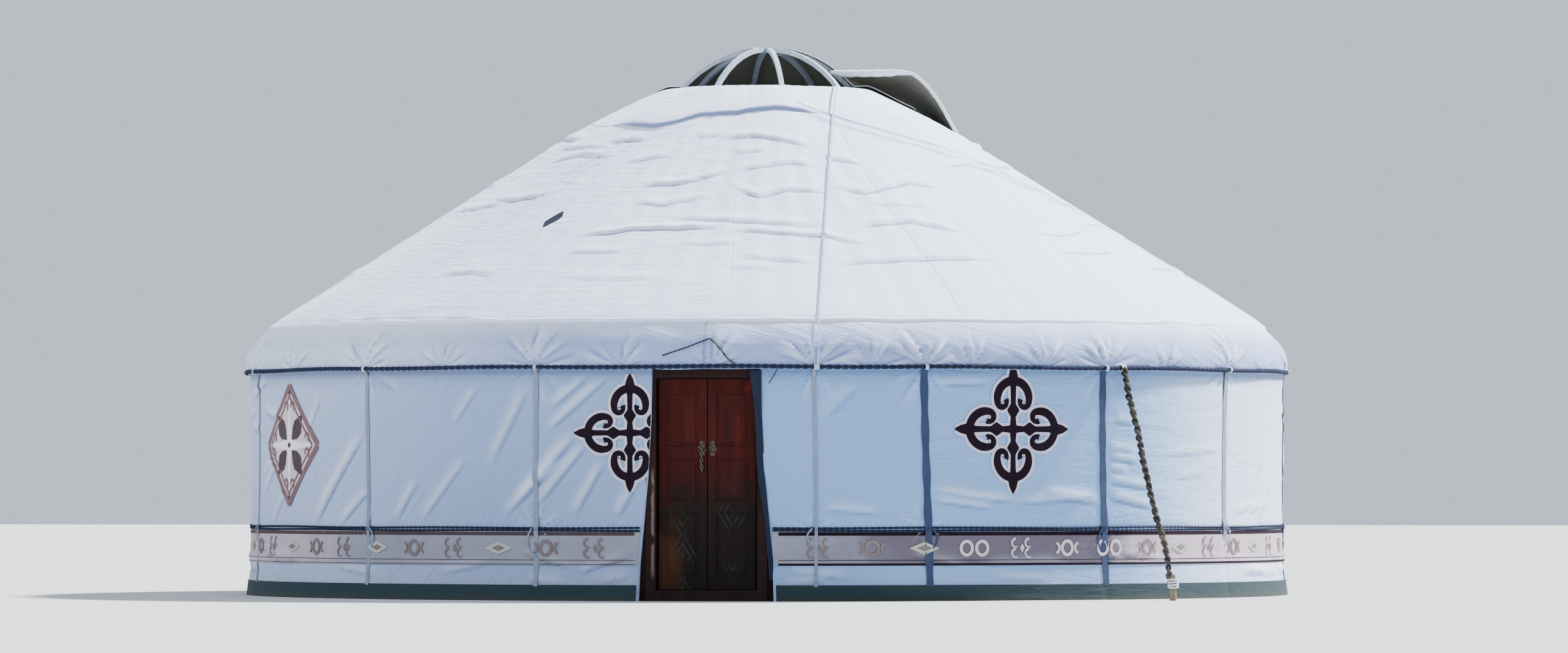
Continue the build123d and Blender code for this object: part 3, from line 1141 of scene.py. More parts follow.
@dataclass(frozen=True)
class CanvasFinish(Finish):
    """Washed cotton canvas with wrinkles, blotches, streaks and splashed earth, with painted shade in its
    fold hollows and a painted highlight on its fold crests.
    """

    # shade is the colour of the blotches, streaks and flecks, and also of the painted shade in fold hollows.
    shade: Color = (0.5, 0.5, 0.55)
    earth: Color = (0.30, 0.25, 0.19)
    dirt: float = 0.5
    blotch: float = 0.22
    streak: float = 0.30
    fleck: float = 0.07
    threads: float = 420.0
    bump: float = 0.25
    crumple: float = 0.30
    splash: float = 0.28
    slant: float = 0.0
    wrinkle: float = 0.45
    # tuck sets how strongly painted shade lies in fold hollows; crest sets how strongly the painted highlight
    # colour lies on fold crests.
    tuck: float = 0.75
    crest: float = 0.30
    painted_highlight: Color = (0.80, 0.84, 0.95)
    sheen: float = 0.12

    def _ground(self, g: Graph, place: Socket) -> Color | Socket:
        """The cloth's own colour."""
        return self.color

    def _paint(self, g: Graph, place: Socket, surface: Node) -> None:
        """Adds dirt, painted fold shade and highlight, wrinkle bumps and weave.

        Args:
            g: the material's graph.
            place: the point on the piece.
            surface: the surface shader.
        """
        flat = g.add("UVMap", uv_map="metres").outputs[0]
        tuck = g.add("Attribute", attribute_name="tuck").outputs["Fac"]
        weather = g.group(Effects.weather(), Vector=place, Height=g.split(place)[2], Splash=self.splash)
        weave = g.group(Effects.weave(), Vector=flat, Threads=self.threads)
        folds = g.group(Effects.wrinkle(), Vector=flat, Slant=self.slant)
        color = self._ground(g, place)
        for mask, share in ((weather.outputs["Blotch"], self.blotch * self.dirt),
                            (weather.outputs["Streak"], self.streak * self.dirt),
                            (weave.outputs["Fleck"], self.fleck)):
            color = g.mix(g.times(mask, share), color, self.shade)
        # Painted shade and highlight: the stored tuck value darkens hollows towards the shade colour and
        # lightens crests towards the highlight colour.
        crest = g.times(tuck, -self.crest, clamp=True)
        hollow = g.times(tuck, self.tuck, clamp=True)
        color = g.mix(hollow, g.mix(crest, color, self.painted_highlight), self.shade)
        color = g.mix(g.times(weather.outputs["Earth"], self.dirt), color, self.earth)
        normal = g.bump(weave.outputs["Height"], self.bump, 0.0006)
        normal = g.bump(g.noise(place, 11.0, 5.0, 0.5, 0.5), self.crumple, 0.012, normal)
        normal = g.bump(folds.outputs["Height"], self.wrinkle, 0.016, normal)
        g.fill(surface, {"Base Color": color, "Normal": normal, "Sheen Weight": self.sheen})


@dataclass(frozen=True)
class SideLitCanvas(CanvasFinish):
    """Canvas with painted light: lighter towards one end of the house, where more light falls on it."""

    # far is the painted lit colour towards one end; side, start and end say which end and where the change
    # runs.
    far: Color = (0.5, 0.5, 0.6)
    side: float = 1.0
    start: float = 2.6
    end: float = 3.45

    def _ground(self, g: Graph, place: Socket) -> Color | Socket:
        """The cloth's colour and its painted lighter colour, mixed along the house's width."""
        share = g.ramp(g.times(g.split(place)[0], self.side), self.start, self.end)
        return g.mix(share, self.color, self.far)


@dataclass(frozen=True)
class BandFinish(CanvasFinish):
    """Printed band: mauve right of the door, bluish white left of it, faded pink round the sides."""

    faded: Color = (0.48, 0.39, 0.455)
    washed: Color = (0.27, 0.275, 0.345)

    def _ground(self, g: Graph, place: Socket) -> Color | Socket:
        """Mauve that fades with the distance from the door's axis.

        Args:
            g: the material's graph.
            place: the point on the piece.

        Returns:
            The colour's socket.
        """
        across = g.split(place)[0]
        stray = g.times(g.noise(place, 2.2, 4.0), 0.9)
        side = g.plus(g.math("ABSOLUTE", across), stray)
        right = g.ramp(g.plus(across, stray), 0.95, 1.75)
        return g.mix(g.ramp(side, 2.95, 3.40), g.mix(right, self.washed, self.color), self.faded)


@dataclass(frozen=True)
class FeltFinish(Finish):
    """Pressed wool felt."""

    shade: Color = (0.4, 0.36, 0.3)

    def _paint(self, g: Graph, place: Socket, surface: Node) -> None:
        """Adds tufts.

        Args:
            g: the material's graph.
            place: the point on the piece.
            surface: the surface shader.
        """
        tufts = g.noise(place, 36.0, 8.0, 0.7)
        g.fill(surface, {"Base Color": g.mix(g.ramp(tufts, 0.35, 0.7), self.color, self.shade),
                         "Normal": g.bump(tufts, 0.5, 0.004), "Sheen Weight": 0.3})


@dataclass(frozen=True)
class FibreFinish(Finish):
    """Twisted or woven fibre of ropes, tapes and applied cloth."""

    shade: Color = (0.2, 0.2, 0.22)
    scale: float = 300.0
    uneven: float = 0.45

    def _paint(self, g: Graph, place: Socket, surface: Node) -> None:
        """Adds fine and broad unevenness.

        Args:
            g: the material's graph.
            place: the point on the piece.
            surface: the surface shader.
        """
        fibre = g.noise(place, self.scale, 3.0)
        broad = g.noise(place, 9.0, 5.0)
        part = g.plus(g.times(g.ramp(fibre, 0.4, 0.7), self.uneven),
                      g.times(g.ramp(broad, 0.45, 0.75), self.uneven))
        g.fill(surface, {"Base Color": g.mix(part, self.color, self.shade),
                         "Normal": g.bump(fibre, 0.4, 0.001)})


@dataclass(frozen=True)
class WoodFinish(Finish):
    """Painted or bare wood that is rubbed at its edges."""

    dark: Color = (0.2, 0.12, 0.08)
    bare: Color = (0.45, 0.36, 0.26)
    worn: float = 0.4
    scale: float = 22.0

    def _tint(self, g: Graph, place: Socket, color: Socket) -> Socket:
        """A finish's own painting over the plain coat."""
        return color

    def _paint(self, g: Graph, place: Socket, surface: Node) -> None:
        """Adds grain and wear.

        Args:
            g: the material's graph.
            place: the point on the piece.
            surface: the surface shader.
        """
        grain = g.group(Effects.grain(), Vector=place, Scale=self.scale)
        wear = g.group(Effects.wear(), Vector=place, Amount=self.worn)
        color = g.mix(g.times(grain.outputs["Grain"], 0.55), self.color, self.dark)
        color = self._tint(g, place, color)
        color = g.mix(g.times(wear.outputs["Mask"], self.worn), color, self.bare)
        g.fill(surface, {"Base Color": color, "Normal": g.bump(grain.outputs["Height"], 0.35, 0.002)})


@dataclass(frozen=True)
class DoorFinish(WoodFinish):
    """Maroon door paint, darker and greener below, with worn painted motifs."""

    low: Color = (0.0085, 0.0080, 0.0065)
    green: Color = (0.022, 0.046, 0.044)
    bright: Color = (0.105, 0.012, 0.008)
    rust: Color = (0.080, 0.030, 0.013)
    motif_middle: float = 0.165
    motif_half_width: float = 0.085
    motif_half_height: float = 0.145

    def _tint(self, g: Graph, place: Socket, color: Socket) -> Socket:
        """Brighter streaks above, dark below, with worn green motifs and a rusty patch.

        Args:
            g: the material's graph.
            place: the point on the door.
            color: the plain coat.

        Returns:
            The painted colour's socket.
        """
        x, _, z = g.split(place)
        blot = g.noise(place, 7.0, 6.0)
        rub = g.noise(g.stretch(place, (1.0, 1.0, 0.18)), 15.0, 4.0)
        streak = g.times(g.ramp(rub, 0.50, 0.66), g.ramp(z, 0.85, 1.15))
        streak = g.times(streak, g.plus(0.35, g.ramp(x, 0.05, 0.25)), clamp=True)
        color = g.mix(g.times(streak, 0.75), color, self.bright)
        level = g.plus(z, g.times(blot, 0.55))
        lower = g.math("SUBTRACT", 1.0, g.ramp(level, 0.80, 1.20))
        color = g.mix(g.times(lower, 0.90), color, self.low)
        across = g.math("ABSOLUTE", g.math("SUBTRACT", g.math("ABSOLUTE", x), self.motif_middle))
        row = g.math("PINGPONG", z, self.motif_half_height)
        diamond = g.plus(g.math("DIVIDE", across, self.motif_half_width),
                         g.math("DIVIDE", row, self.motif_half_height))
        stripe = g.math("SINE", g.times(diamond, 13.0))
        motif = g.times(g.ramp(stripe, 0.35, 0.7), g.ramp(diamond, 1.25, 1.0))
        rubbed = g.times(g.ramp(blot, 0.42, 0.60), g.times(motif, lower))
        color = g.mix(g.times(rubbed, 0.6), color, self.green)
        patch = g.times(g.ramp(x, -0.12, -0.24), g.ramp(level, 0.95, 0.55))
        return g.mix(g.times(patch, g.times(rub, 1.1), clamp=True), color, self.rust)


@dataclass(frozen=True)
class JambFinish(WoodFinish):
    """Dark old paint on the door frame, with a pale rubbed strip low on the left jamb."""

    strip: Color = (0.15, 0.105, 0.092)

    def _tint(self, g: Graph, place: Socket, color: Socket) -> Socket:
        """Adds the rubbed strip.

        Args:
            g: the material's graph.
            place: the point on the frame.
            color: the plain coat.

        Returns:
            The painted colour's socket.
        """
        x, _, z = g.split(place)
        rub = g.noise(place, 9.0, 5.0)
        wave = g.plus(x, g.times(rub, 0.02))
        across = g.times(g.ramp(wave, -0.356, -0.350), g.ramp(wave, -0.330, -0.337))
        up = g.times(g.ramp(z, 0.12, 0.22), g.ramp(z, 0.90, 0.78))
        mask = g.times(g.times(across, up), g.ramp(rub, 0.30, 0.50))
        return g.mix(g.times(mask, 0.85), color, self.strip)


@dataclass(frozen=True)
class IronFinish(Finish):
    """Old worked iron with rust in its hollows."""

    rust: Color = (0.16, 0.07, 0.035)

    def _paint(self, g: Graph, place: Socket, surface: Node) -> None:
        """Adds rust spots.

        Args:
            g: the material's graph.
            place: the point on the piece.
            surface: the surface shader.
        """
        spots = g.noise(place, 60.0, 6.0)
        mask = g.ramp(spots, 0.48, 0.66)
        g.fill(surface, {"Base Color": g.mix(mask, self.color, self.rust),
                         "Metallic": g.math("SUBTRACT", 0.85, mask), "Normal": g.bump(spots, 0.3, 0.001)})


class Palette:
    """Every finish of the yurt, made once."""

    def __init__(self) -> None:
        """Builds the materials."""
        finishes = [
            # One white canvas in painted light and shade: the roof tinted pale blue as the lit copy, the
            # valance and walls darker and bluer as shaded copies.
            CanvasFinish("roof_canvas", (0.74, 0.81, 1.0), shade=(0.17, 0.23, 0.40), dirt=0.16, tuck=0.80),
            SideLitCanvas("valance_canvas", (0.32, 0.41, 0.69), shade=(0.14, 0.21, 0.41), dirt=0.35,
                        far=(0.58, 0.65, 0.84), side=-1.0, start=0.8, end=2.6, wrinkle=0.6,
                        slant=0.35, tuck=0.85, crest=0.75),
            SideLitCanvas("wall_canvas_right", (0.225, 0.395, 0.71), shade=(0.11, 0.22, 0.45), dirt=0.35,
                        far=(0.60, 0.69, 0.88), wrinkle=0.5, earth=(0.36, 0.34, 0.38), tuck=0.85,
                        crest=0.60),
            SideLitCanvas("wall_canvas_left", (0.265, 0.375, 0.62), shade=(0.14, 0.21, 0.40),
                        far=(0.40, 0.49, 0.71), side=-1.0, start=1.4, end=2.9, wrinkle=0.8,
                        slant=-0.85, earth=(0.38, 0.35, 0.38), tuck=0.85, crest=0.75),
            BandFinish("band_canvas", (0.120, 0.104, 0.145), shade=(0.075, 0.070, 0.105), wrinkle=0.4,
                       splash=0.05),
            CanvasFinish("hem_canvas", (0.84, 0.84, 0.88), shade=(0.6, 0.60, 0.66), dirt=0.3),
            CanvasFinish("skirt_canvas", (0.016, 0.036, 0.044), 0.9, shade=(0.03, 0.06, 0.05),
                         earth=(0.05, 0.05, 0.035), splash=0.06, sheen=0.0, painted_highlight=(0.03, 0.06, 0.06)),
            CanvasFinish("lining", (0.20, 0.19, 0.145), 0.9, shade=(0.09, 0.075, 0.055), sheen=0.0,
                         splash=0.01),
            # edge_cloth colours the real roof patch, and also the dark strip by the door, which is partly
            # painted shadow.
            CanvasFinish("edge_cloth", (0.008, 0.013, 0.032), 0.9, shade=(0.02, 0.03, 0.06), sheen=0.0,
                         painted_highlight=(0.03, 0.04, 0.08), splash=0.01),
            FeltFinish("felt", (0.44, 0.39, 0.32), 0.95, shade=(0.30, 0.26, 0.21)),
            FibreFinish("rope", (0.014, 0.019, 0.044), 0.9, gloss=0.1, shade=(0.036, 0.044, 0.080)),
            FibreFinish("guy", (0.020, 0.018, 0.014), shade=(0.17, 0.16, 0.13), scale=38.0),
            FibreFinish("tape", (0.022, 0.040, 0.095), shade=(0.055, 0.080, 0.15)),
            FibreFinish("grey_tape", (0.19, 0.23, 0.33), shade=(0.28, 0.32, 0.43)),
            FibreFinish("pale_tape", (0.66, 0.68, 0.76), shade=(0.48, 0.51, 0.60)),
            FibreFinish("roof_tape", (0.46, 0.50, 0.66), shade=(0.62, 0.65, 0.78)),
            FibreFinish("figure", (0.0085, 0.0045, 0.0095), 0.9, gloss=0.1, shade=(0.022, 0.010, 0.019)),
            FibreFinish("edging", (0.55, 0.53, 0.68), 0.9, shade=(0.44, 0.43, 0.58)),
            FibreFinish("white_figure", (0.84, 0.82, 0.88), 0.9, shade=(0.74, 0.72, 0.80)),
            FibreFinish("hood_edge", (0.74, 0.73, 0.62), shade=(0.60, 0.59, 0.50)),
            FibreFinish("brown_line", (0.165, 0.085, 0.095), 0.9, shade=(0.25, 0.15, 0.16)),
            FibreFinish("faded_line", (0.165, 0.125, 0.120), 0.9, shade=(0.25, 0.21, 0.22)),
            FibreFinish("leaf_brown", (0.052, 0.034, 0.038), 0.9, shade=(0.085, 0.060, 0.064)),
            FibreFinish("scroll", (0.62, 0.55, 0.60), 0.9, shade=(0.46, 0.39, 0.45)),
            FibreFinish("lens", (0.44, 0.48, 0.40), 0.9, shade=(0.34, 0.36, 0.33)),
            FibreFinish("lashing", (0.50, 0.42, 0.30), 0.9, shade=(0.30, 0.22, 0.14)),
            WoodFinish("lattice_wood", (0.34, 0.10, 0.05), 0.6, dark=(0.19, 0.05, 0.025),
                       bare=(0.48, 0.30, 0.17), worn=0.5),
            WoodFinish("pole_wood", (0.36, 0.10, 0.05), 0.6, dark=(0.20, 0.05, 0.03),
                       bare=(0.50, 0.31, 0.18), worn=0.5),
            WoodFinish("crown_wood", (0.50, 0.57, 0.64), 0.55, dark=(0.32, 0.38, 0.47),
                       bare=(0.36, 0.29, 0.22), worn=0.45),
            JambFinish("frame_wood", (0.022, 0.009, 0.008), 0.75, dark=(0.010, 0.006, 0.007),
                       bare=(0.10, 0.07, 0.06), worn=0.30, gloss=0.12),
            WoodFinish("peg_wood", (0.24, 0.18, 0.12), dark=(0.12, 0.09, 0.06),
                       bare=(0.40, 0.34, 0.27), worn=0.7),
            DoorFinish("door_paint", (0.046, 0.0065, 0.005), 0.75, dark=(0.020, 0.005, 0.005),
                       bare=(0.10, 0.06, 0.04), worn=0.30, gloss=0.12),
            IronFinish("door_iron", (0.045, 0.042, 0.038), 0.55),
            IronFinish("lock_metal", (0.15, 0.14, 0.11), 0.5, rust=(0.08, 0.06, 0.04)),
        ]
        self._made = {finish.name: finish.build() for finish in finishes}

    def __getitem__(self, name: str) -> bpy.types.Material:
        """The material of that name."""
        return self._made[name]


# Sub-assemblies

@dataclass
class RoofCloth:
    """Three lapped roof sheets, valance, felt, collar, seams and a patch."""

    palette: Palette
    form: RoofForm = field(default_factory=RoofForm)
    left_edge: tuple = ((0.0, -52.0), (1.4, -46.0), (2.03, -41.2), (2.37, -40.8), (2.76, -34.4),
                        (2.95, -23.9), (3.4, -6.0))
    right_edge: tuple = ((0.0, 97.0), (0.6, 93.0), (1.85, 81.7), (2.44, 66.6), (2.70, 55.1), (3.00, 34.7),
                         (3.4, 14.0))
    collar_edge: tuple = ((-180, 3.10), (-120, 3.08), (-80, 3.04), (-50, 2.97), (-34, 2.93), (-23.9, 2.95),
                          (-13.6, 3.06), (0, 3.115), (12.9, 3.14), (32.8, 3.09), (55, 3.05), (90, 3.10),
                          (135, 3.07), (180, 3.10))
    foot: float = 0.372
    lip: tuple = (0.645, 3.4870)
    patch: tuple = (-30.5, 1.66)
    patch_size: tuple = (0.110, 0.072)
    patch_turn: float = 40.0

    def build(self) -> list[Piece]:
        """Makes the roof's cloth.

        Returns:
            The roof's cloth pieces.
        """
        names = [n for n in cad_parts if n.startswith("roof_cover")]
        left, right = np.array(self.left_edge), np.array(self.right_edge)
        sheets = [
            self._sheet("roof_sheet_front", left, right, 0.006, self._rows(236), 288, (8.8, 3.05)),
            self._sheet("roof_sheet_left", np.array([(0, -176.0), (4, -176.0)]), left + (0, 8), 0.0,
                        self._rows(150), 190, (9.2, 3.05)),
            self._sheet("roof_sheet_right", right - (0, 11), np.array([(0, 187.0), (4, 187.0)]), 0.001,
                        self._rows(150), 190, (9.6, 3.05)),
            self._valance(), self._felt()]
        for sheet in sheets:
            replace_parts(sheet, *names)
        return [*sheets, self._collar(), self._seams(), self._patch()]

    def _rows(self, count: int) -> Array:
        """Lengths up the cloth of a sheet's rows, close together at its lower edge.

        Args:
            count: about how many rows lie above that edge.

        Returns:
            The lengths.
        """
        edge = self.foot + np.array([0, 0.003, 0.008, 0.015, 0.023, 0.033])
        plain = np.linspace(self.foot + 0.045, 1.0, count // 8)
        return np.concatenate([edge, plain, np.linspace(1.0, 3.30, count - count // 8)[1:]])

    def _sheet(self, name: str, low: Array, high: Array, off: float, rows: Array, columns: int,
               flat: tuple[float, float]) -> Piece:
        """One roof sheet between two edges.

        Args:
            name: the piece's name.
            low: its left edge as length up the cloth and plan angle.
            high: its right edge in the same way.
            off: how far it lies off the plain form.
            rows: lengths up the cloth of its rows.
            columns: number of its columns.
            flat: not used.

        Returns:
            The sheet.
        """
        s = rows[:, None]
        start, end = np.interp(s, *low.T), np.interp(s, *high.T)
        edge = np.array([0, 0.0015, 0.004, 0.008, 0.014])
        u = np.concatenate([edge, np.linspace(0.021, 0.979, columns), 1 - edge[::-1]])[None, :]
        theta = start + (end - start) * u
        r = self.form.base(s)[0]
        side = np.radians(np.minimum(theta - start, end - theta)) * r
        lift = off
        for away in (side, s - self.foot):
            lift = lift + 0.005 * bell(away, 0.016, 0.010)
            lift = lift - (off + 0.003) * bell(away, 0, 0.006)
        points = self.form.point(theta, s, lift)
        uv = spread(np.radians(theta) * ROOF_RADIUS, s)
        faces = grid_faces(*points.shape[:2])
        obj = make_object(name, points, faces, ROOT, "roof_canvas", uv, [self.palette["roof_canvas"]])
        # Painted shadow along the front sheet's free edges where it laps over the sheets below, with a darker
        # line for its hem a little inside; weaker on the left.
        slope = np.where(theta - start < end - theta, np.gradient(start, rows, axis=0),
                         np.gradient(end, rows, axis=0))
        near = side / np.hypot(1, np.radians(slope) * r)
        edge_shadow_and_hem = 1.1 * bell(near, 0, 0.040) + 0.75 * bell(near, 0.125, 0.028)
        edge_shadow_and_hem = edge_shadow_and_hem * (s > 0.50) * (off > 0.004) * (0.75 + 0.25 * np.sin(s * 9 + theta * 0.2))
        edge_shadow_and_hem = edge_shadow_and_hem * np.where(theta < 0, 0.45, 1.0)
        store_tuck(obj, np.clip(self.form.tuck(theta, s) + edge_shadow_and_hem, -1, 1))
        return obj

    def _valance(self) -> Piece:
        """The strip round the eave that the ropes draw into pleats, with its hem turned in.

        Returns:
            The piece.
        """
        columns = 1100
        t = np.linspace(0, 360, columns, endpoint=False)[None, :]
        s = np.array([0.034, 0.016, 0.012, 0.012, *np.linspace(0.017, 0.42, 42)])[:, None]
        off = np.array([-0.012, -0.011, -0.007, -0.001, *np.zeros(42)])[:, None] - 0.001
        wave = np.sin(np.radians(t) * 34) + np.sin(np.radians(t) * 61 + 2)
        s = s + 0.0025 * wave * (1 - smooth(s, 0.0, 0.05))
        points = self.form.point(t, s, off)
        uv = spread(np.radians(t) * ARC_RADIUS, s)
        faces = grid_faces(46, columns, wrap=True)
        obj = make_object("roof_valance", points, faces, ROOT, "roof_canvas", uv,
                          [self.palette["valance_canvas"]])
        # Painted shadow at the valance's bottom under the eave rope, and painted light on its upper part,
        # which turns to face the sky.
        valance_shade_and_light = 0.8 * (1 - smooth(s, 0.01, 0.05)) + 0.3 * (1 - smooth(s, 0.02, 0.16))
        valance_shade_and_light = valance_shade_and_light - 0.9 * smooth(s, 0.17, 0.41)
        store_tuck(obj, np.clip(self.form.tuck(t, s) + valance_shade_and_light, -1, 1))
        return obj

    def _felt(self) -> Piece:
        """The felt under the canvas, which lies on the poles.

        Returns:
            The piece.
        """
        t = np.linspace(0, 360, 216, endpoint=False)[None, :]
        s = np.linspace(0.02, self.form.length() - 0.02, 34)[:, None]
        points = self.form.plain(t, s, -FELT_DEPTH)
        faces = grid_faces(34, 216, wrap=True)
        obj = make_object("roof_felt", points, faces, ROOT, "roof_canvas", None, [self.palette["felt"]])
        return obj

    def _collar(self) -> Piece:
        """The canvas round the crown, whose free lower edge stands off the sheets below it.

        Returns:
            The piece.
        """
        total = self.form.length()
        columns = 420
        t = np.linspace(-180, 180, columns, endpoint=False)[None, :]
        low = np.interp(t, *np.array(self.collar_edge).T)
        low = low + 0.006 * np.sin(np.radians(t) * 17) + 0.004 * np.sin(np.radians(t) * 41 + 1)
        near = np.array([0, 0.003, 0.009, 0.018, 0.030, 0.046, 0.068, 0.095])[:, None]
        v = np.linspace(0, 1, 20)[1:, None]
        rise = np.concatenate([near + 0 * t, 0.095 + (total - 0.006 - low - 0.095) * v])
        still = smooth(t, -52, -37) * (1 - 0.93 * smooth(t, 16, 30))
        still = np.maximum(still, smooth(np.abs(t), 150, 175))
        loose = (0.010 + 0.012 * bell(wrapped(t - 4), 0, 22)) * still
        belly = 0.002 + 0.007 * still + loose * bell(np.clip(rise - 0.016, 0, None), 0, 0.055)
        belly = belly - (belly - 0.002) * bell(rise, 0, 0.006)
        belly = belly * (1 - 0.6 * smooth(low + rise, total - 0.10, total - 0.01))
        points = self.form.point(t, low + rise, belly)
        lip = around(t, *np.reshape(self.lip, (2, 1, 1)))
        points = np.concatenate([points, lip])
        uv = spread(np.radians(t) * ROOF_RADIUS, np.vstack([low + rise, 0 * t + total]))
        faces = grid_faces(len(points), columns, wrap=True)
        obj = make_object("roof_collar", points, faces, ROOT, "roof_canvas", uv,
                          [self.palette["roof_canvas"]])
        shadow = 1.2 * bell(rise, 0.015, 0.062) * still
        second = smooth(t, -46, -34) * (1 - smooth(t, -8, 6))
        shadow = shadow + 0.40 * bell(rise, 0.14, 0.024) * second
        store_tuck(obj, np.vstack([shadow, 0 * t]))
        return obj

    def _seams(self) -> Piece:
        """Thin raised seams where the widths of canvas are sewn.

        Returns:
            The piece.
        """
        parts = []
        for theta in (-150, -125, -100, -75, -24, 1.5, 28, 100, 125, 150, 175):
            s = np.linspace(0.41, 2.86, 120)
            line = self.form.point(theta + 0.7 * np.sin(s * 2.1), s, 0.0062 if -40 < theta < 70 else 0.001)
            parts.append(tube(line, 0.0020, 5))
        points, faces = merged(parts)
        return make_object("roof_seams", points, faces, ROOT, "roof_canvas", points[:, :2],
                           [self.palette["roof_canvas"]])

    def _patch(self) -> Piece:
        """The small dark slanting patch high on the left of the front sheet.

        Returns:
            The piece.
        """
        a, b = np.meshgrid(np.linspace(-0.5, 0.5, 12), np.linspace(-0.5, 0.5, 7))
        x, y = a * self.patch_size[0], b * self.patch_size[1] * (1 - (1.7 * a) ** 4 * 0.5)
        turn = math.radians(self.patch_turn)
        across, up = x * math.cos(turn) - y * math.sin(turn), x * math.sin(turn) + y * math.cos(turn)
        s = self.patch[1] + up * 1.8
        theta = self.patch[0] + np.degrees(across / self.form.base(s)[0])
        points = self.form.point(theta, s, 0.0095)
        return make_object("roof_patch", points, grid_faces(7, 12), ROOT, "roof_canvas",
                           np.stack([x, y], -1), [self.palette["edge_cloth"]])


@dataclass
class WallCloth:
    """Four wall sheets, lapped at their ends, with felt, ornament band, skirt, and a dark strip by the door
    that is partly painted shadow.
    """

    palette: Palette
    form: WallForm = field(default_factory=WallForm)
    sheets: tuple = (("front_right", 0.0, 92.0, 0.003), ("back_right", 89.0, 181.5, 0.0),
                     ("back_left", 178.5, 271.0, 0.0), ("front_left", 268.0, 360.0, 0.003))

    def build(self) -> list[Piece]:
        """Makes the wall's cloth pieces.

        Returns:
            The pieces.
        """
        nodes = [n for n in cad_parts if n.startswith("wall_cover")]
        made = [self._sheet(f"wall_sheet_{name}", low, high, off, f"wall_canvas_{name.split('_')[1]}")
                for name, low, high, off in self.sheets]
        made.append(self._felt())
        for piece in made:
            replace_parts(piece, *nodes)
        band = self._strip("ornament_band", 0.232, 0.458, Layer.BAND.value + 0.003, 15, "band_canvas")
        skirt = self._strip("base_skirt_cloth", 0.0, 0.105, 0.009, 8, "skirt_canvas")
        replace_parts(skirt, "base_skirt")
        return [*made, band, skirt, self._edge_strip_and_shadow()]

    def _span(self, low: float, high: float, z: Array, u: Array) -> Array:
        """Plan angles between two ends, of which an end at 0 or 360 is the edge at the door.

        Args:
            low: one end.
            high: the other end.
            z: heights.
            u: shares of the way between the ends.

        Returns:
            The plan angles.
        """
        start = np.where(low == 0.0, door_edge(z), low)
        end = np.where(high == 360.0, 360 - door_edge(z), high)
        return start + (end - start) * u

    def _sheet(self, name: str, low: float, high: float, off: float, finish: str) -> Piece:
        """One sheet between two plan angles.

        Args:
            name: the piece's name.
            low: plan angle of one end, 0 at the door.
            high: plan angle of the other end, 360 at the door.
            off: how far it lies off the form.
            finish: its outer finish.

        Returns:
            The sheet.
        """
        z = np.concatenate([np.linspace(0.0, 0.1, 7)[:-1], np.linspace(0.1, WALL_TOP, 92)])[:, None]
        u = np.linspace(0, 1, 272)[None, :]
        theta = self._span(low, high, z, u)
        lift = np.full(theta.shape, off)
        if low == 0.0:
            theta, lift = np.hstack([theta[:, :1], theta]), np.hstack([lift[:, :1] - 0.018, lift])
        if high == 360.0:
            theta, lift = np.hstack([theta, theta[:, -1:]]), np.hstack([lift, lift[:, -1:] - 0.018])
        points = self.form.point(theta, z, lift)
        uv = spread(np.radians(wrapped(theta)) * WALL_RADIUS, z)
        faces = grid_faces(*points.shape[:2])
        obj = make_object(name, points, faces, ROOT, "wall_canvas", uv, [self.palette[finish]])
        # Painted shadow on the wall under the eave rope and the valance.
        rope_shadow = 0.9 * bell(z, 1.503, 0.024) + 0.35 * bell(z, 1.47, 0.05)
        store_tuck(obj, np.clip(self.form.tuck(theta, z) + rope_shadow, -1, 1))
        return obj

    def _felt(self) -> Piece:
        """The felt between the canvas and the lattice.

        Returns:
            The piece.
        """
        t = np.linspace(7.3, 352.7, 210)[None, :]
        z = np.array([0.0, 0.1, 0.2, 0.3, 0.6, 0.9, 1.2, 1.5, WALL_TOP - 0.005])[:, None]
        radius = WALL_RADIUS + FLARE * np.clip(1 - z / FLARE_HEIGHT, 0, 1) - FELT_DEPTH
        points = around(t, radius + 0 * t, z)
        faces = grid_faces(9, 210)
        obj = make_object("wall_felt", points, faces, ROOT, "wall_canvas", None, [self.palette["felt"]])
        return obj

    def _strip(self, name: str, low: float, high: float, off: float, rows: int,
               finish: str) -> Piece:
        """A strip of cloth all along the wall.

        Args:
            name: the piece's name.
            low: height of its lower edge.
            high: height of its upper edge.
            off: how far it lies off the form.
            rows: number of vertex rows.
            finish: its finish.

        Returns:
            The strip.
        """
        columns = 1040
        z = np.linspace(low, high, rows)[:, None]
        u = np.linspace(0, 1, columns)[None, :]
        theta = self._span(0.0, 360.0, z, 0.0008 + 0.9984 * u)
        points = self.form.point(theta, z, off)
        points[..., 2] += 0.006 * np.sin(np.radians(theta) * 23) * (z - low) / (high - low) * (low > 0)
        uv = spread(np.radians(wrapped(theta)) * WALL_RADIUS, z)
        faces = grid_faces(rows, columns)
        obj = make_object(name, points, faces, ROOT,
                          "skirt_canvas" if low == 0 else "wall_canvas", uv, [self.palette[finish]])
        store_tuck(obj, self.form.tuck(theta, z))
        return obj

    def _edge_strip_and_shadow(self) -> Piece:
        """A dark strip along the right edge of the doorway: partly a dark edge binding, partly painted shadow
        in the gap beside the door.

        Returns:
            The piece.
        """
        z = np.linspace(0.14, 1.512, 110)[:, None]
        x1 = WALL_RADIUS * np.sin(np.radians(door_edge(z))) + 0.006
        width = np.interp(z, [0.14, 0.35, 0.8, 1.2, 1.4, 1.512], [0.024, 0.034, 0.042, 0.050, 0.064, 0.072])
        width = width + 0.006 * np.sin(z * 9)
        u = np.linspace(0, 1, 9)[None, :]
        x = x1 - width * (1 - u)
        swell = 0.006 * np.sin(np.pi * u) + 0.003 * np.sin(z * 21 + 5 * u)
        y = -np.sqrt((WALL_RADIUS + 0.005) ** 2 - x ** 2) - swell
        points = spread(x, y, z)
        faces = grid_faces(110, 9)
        obj = make_object("door_edge_cloth", points, faces, ROOT, "wall_canvas",
                          spread(x, z), [self.palette["edge_cloth"]])
        return obj


